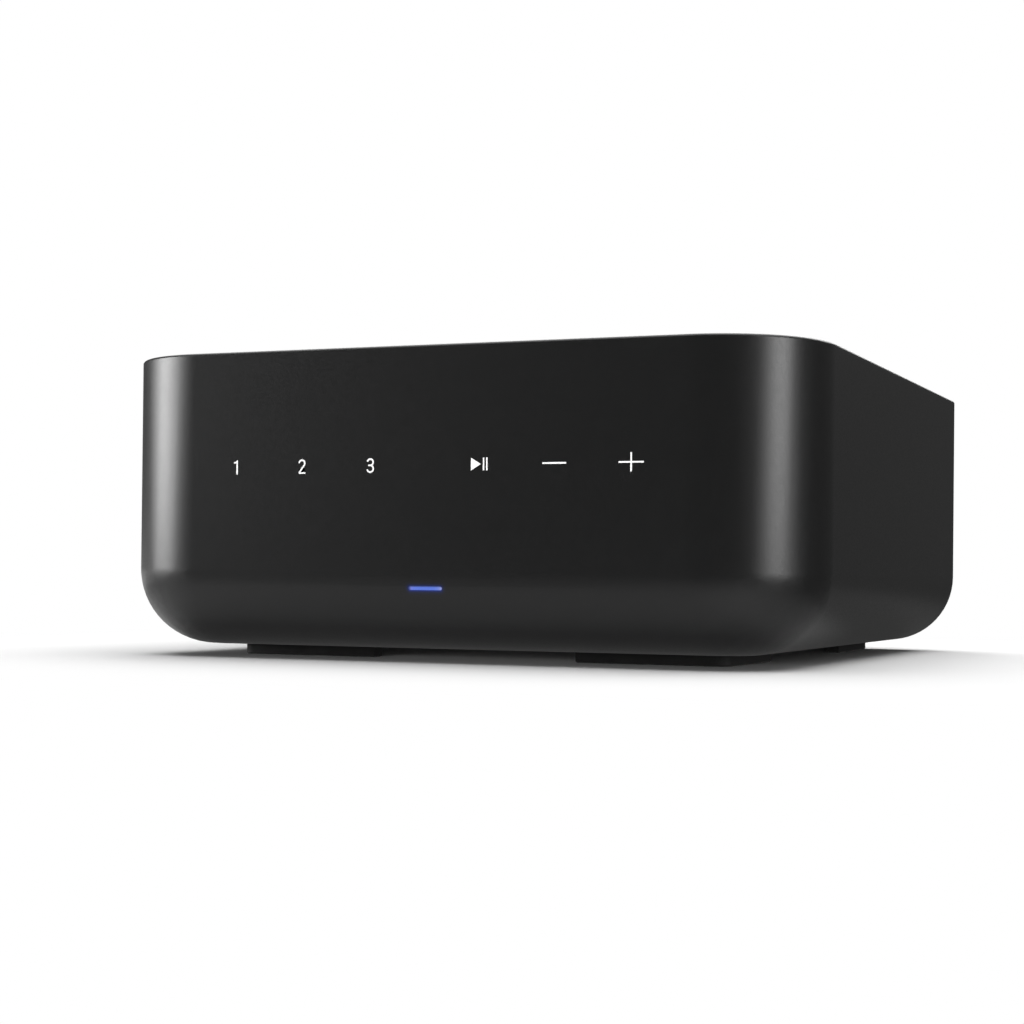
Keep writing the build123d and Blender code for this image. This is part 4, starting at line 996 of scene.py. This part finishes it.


# In reflections the far floor is painted full white to the left of the case, as painted light, and dim
# elsewhere.
slant = calc(tree, "MINIMUM", calc(tree, "MULTIPLY", y, 0.5), 0)
leftward = calc(tree, "SUBTRACT", slant, x)
painted_light_to_left = ramp(tree, leftward, 120 * mm, 320 * mm, 0.08, 1)
white = node(tree, "Emission", {"Strength": backdrop_level(tree, ray, painted_light_to_left)})
from_case = diagonal(tree, past(tree, x, half_width), past(tree, y, half_depth))
away = ramp(tree, from_case, 0, fade_out, 0, 1, interpolation_type="SMOOTHSTEP")
bounced = calc(tree, "MAXIMUM", ray["Is Glossy Ray"], ray["Is Transmission Ray"])
direct = calc(tree, "MAXIMUM", ray["Is Camera Ray"], bounced)
white_share = calc(tree, "MULTIPLY", away, direct)
top_side = node(tree, "MixShader", {0: white_share, 1: near_case.outputs[0], 2: white.outputs[0]})
from_below = node(tree, "NewGeometry").outputs["Backfacing"]
see_through = node(tree, "BsdfTransparent")
sheet = node(tree, "MixShader", {0: from_below, 1: top_side.outputs[0], 2: see_through.outputs[0]})
node(tree, "OutputMaterial", {0: sheet.outputs[0]})
stage_mesh.materials.append(floor_white)


# Studio: a broad light on each side of the case, seen only in reflections, draws the
# bands on its corners. A soft light hangs overhead, a low one in front is never mirrored,
# and three stand behind for the terminals. The background is white.
mirrored_level, soft_level = 0.085, 0.12
world = bpy.data.worlds.new("studio")
bpy.context.scene.world = world
world.use_nodes = True
tree = world.node_tree
backdrop = tree.nodes["Background"]
backdrop.inputs["Color"].default_value = (1, 1, 1, 1)
ray = node(tree, "LightPath").outputs
soft = calc(tree, "MULTIPLY", ray["Is Diffuse Ray"], soft_level)
level = calc(tree, "MAXIMUM", backdrop_level(tree, ray, mirrored_level), soft)
tree.links.new(level, backdrop.inputs["Strength"])


def studio_light(name, place, aim, size, radiance, only_mirrored=False, only_soft=False):
    """A rectangular light that faces its aim, as bright as this to look at in its middle."""
    lamp = bpy.data.lights.new(name, "AREA")
    lamp.shape = "RECTANGLE"
    lamp.size, lamp.size_y = size
    lamp.energy = radiance * math.pi * size[0] * size[1]
    stand = bpy.data.objects.new(name, lamp)
    stand.location = place
    facing = (Vector(aim) - Vector(place)).to_track_quat("-Z", "Y")
    stand.rotation_euler = facing.to_euler()
    stand.visible_camera = False
    stand.visible_diffuse = not only_mirrored
    stand.visible_glossy = not only_soft
    bpy.context.scene.collection.objects.link(stand)
    if only_mirrored:
        lamp.use_nodes = True
        tree = lamp.node_tree
        across = node(tree, "SeparateXYZ", {0: node(tree, "NewGeometry").outputs["Parametric"]})
        off_middle = apart(tree, across.outputs[0], 0.5)
        fall = ramp(tree, off_middle, 0.1, 0.5, 1, 0, interpolation_type="SMOOTHSTEP")
        tree.links.new(fall, tree.nodes["Emission"].inputs["Strength"])


def around(angle, distance, height):
    """A place this far from the case, at an angle from the front towards the right."""
    a = math.radians(angle)
    return (distance * math.sin(a), -distance * math.cos(a), height)


studio_light(
    "left_strip", place=around(-66.5, 0.95, 0.29), aim=(0, 0, 0.29), size=(0.72, 0.5),
    radiance=14, only_mirrored=True,
)
studio_light(
    "right_strip", place=around(71, 0.95, 0.27), aim=(0, 0, 0.27), size=(0.5, 0.52),
    radiance=9.5, only_mirrored=True,
)
studio_light("overhead", place=(-0.05, 0.25, 1.15), aim=(0, 0, 0), size=(1.9, 1.9), radiance=2.5)
studio_light(
    "front_fill", place=(0.2, -1.6, 0.11), aim=(0, 0, 0.06), size=(1.4, 0.18),
    radiance=24, only_soft=True,
)
for name, angle in (("behind_left", -150), ("behind_right", 150)):
    studio_light(
        name, place=around(angle, 1.1, 0.75), aim=(0, 0.1, 0.04), size=(0.5, 0.5), radiance=3.0,
    )
studio_light(
    "behind", place=(0, 1.1, 0.7), aim=(0, 0.1, 0.06), size=(1.1, 0.55),
    radiance=4.0, only_mirrored=True,
)


# Camera: at the photograph's height, just above the table, a little to the right of the
# case and level, with a small shift that frames it as the photograph does.
camera_place = (0.23418, -0.62700, 0.02427)
yaw, pitch, roll = 0.4094, 0.0091, 0.0105
view = Vector((-math.sin(yaw) * math.cos(pitch), math.cos(yaw) * math.cos(pitch), math.sin(pitch)))
right = Vector((math.cos(yaw), math.sin(yaw), 0))
up = right.cross(view)
tilted_right = math.cos(roll) * right + math.sin(roll) * up
tilted_up = math.cos(roll) * up - math.sin(roll) * right
lens = bpy.data.cameras.new("camera")
lens.sensor_width = 36
lens.lens = 69.92
lens.shift_x = 0.0410
lens.shift_y = 0.0469
lens.clip_start = 0.01
camera = bpy.data.objects.new("camera", lens)
turned = Matrix((tilted_right, tilted_up, -view)).transposed().to_4x4()
camera.matrix_world = Matrix.Translation(camera_place) @ turned
bpy.context.scene.collection.objects.link(camera)
bpy.context.scene.camera = camera
bpy.context.scene.view_settings.view_transform = "Standard"
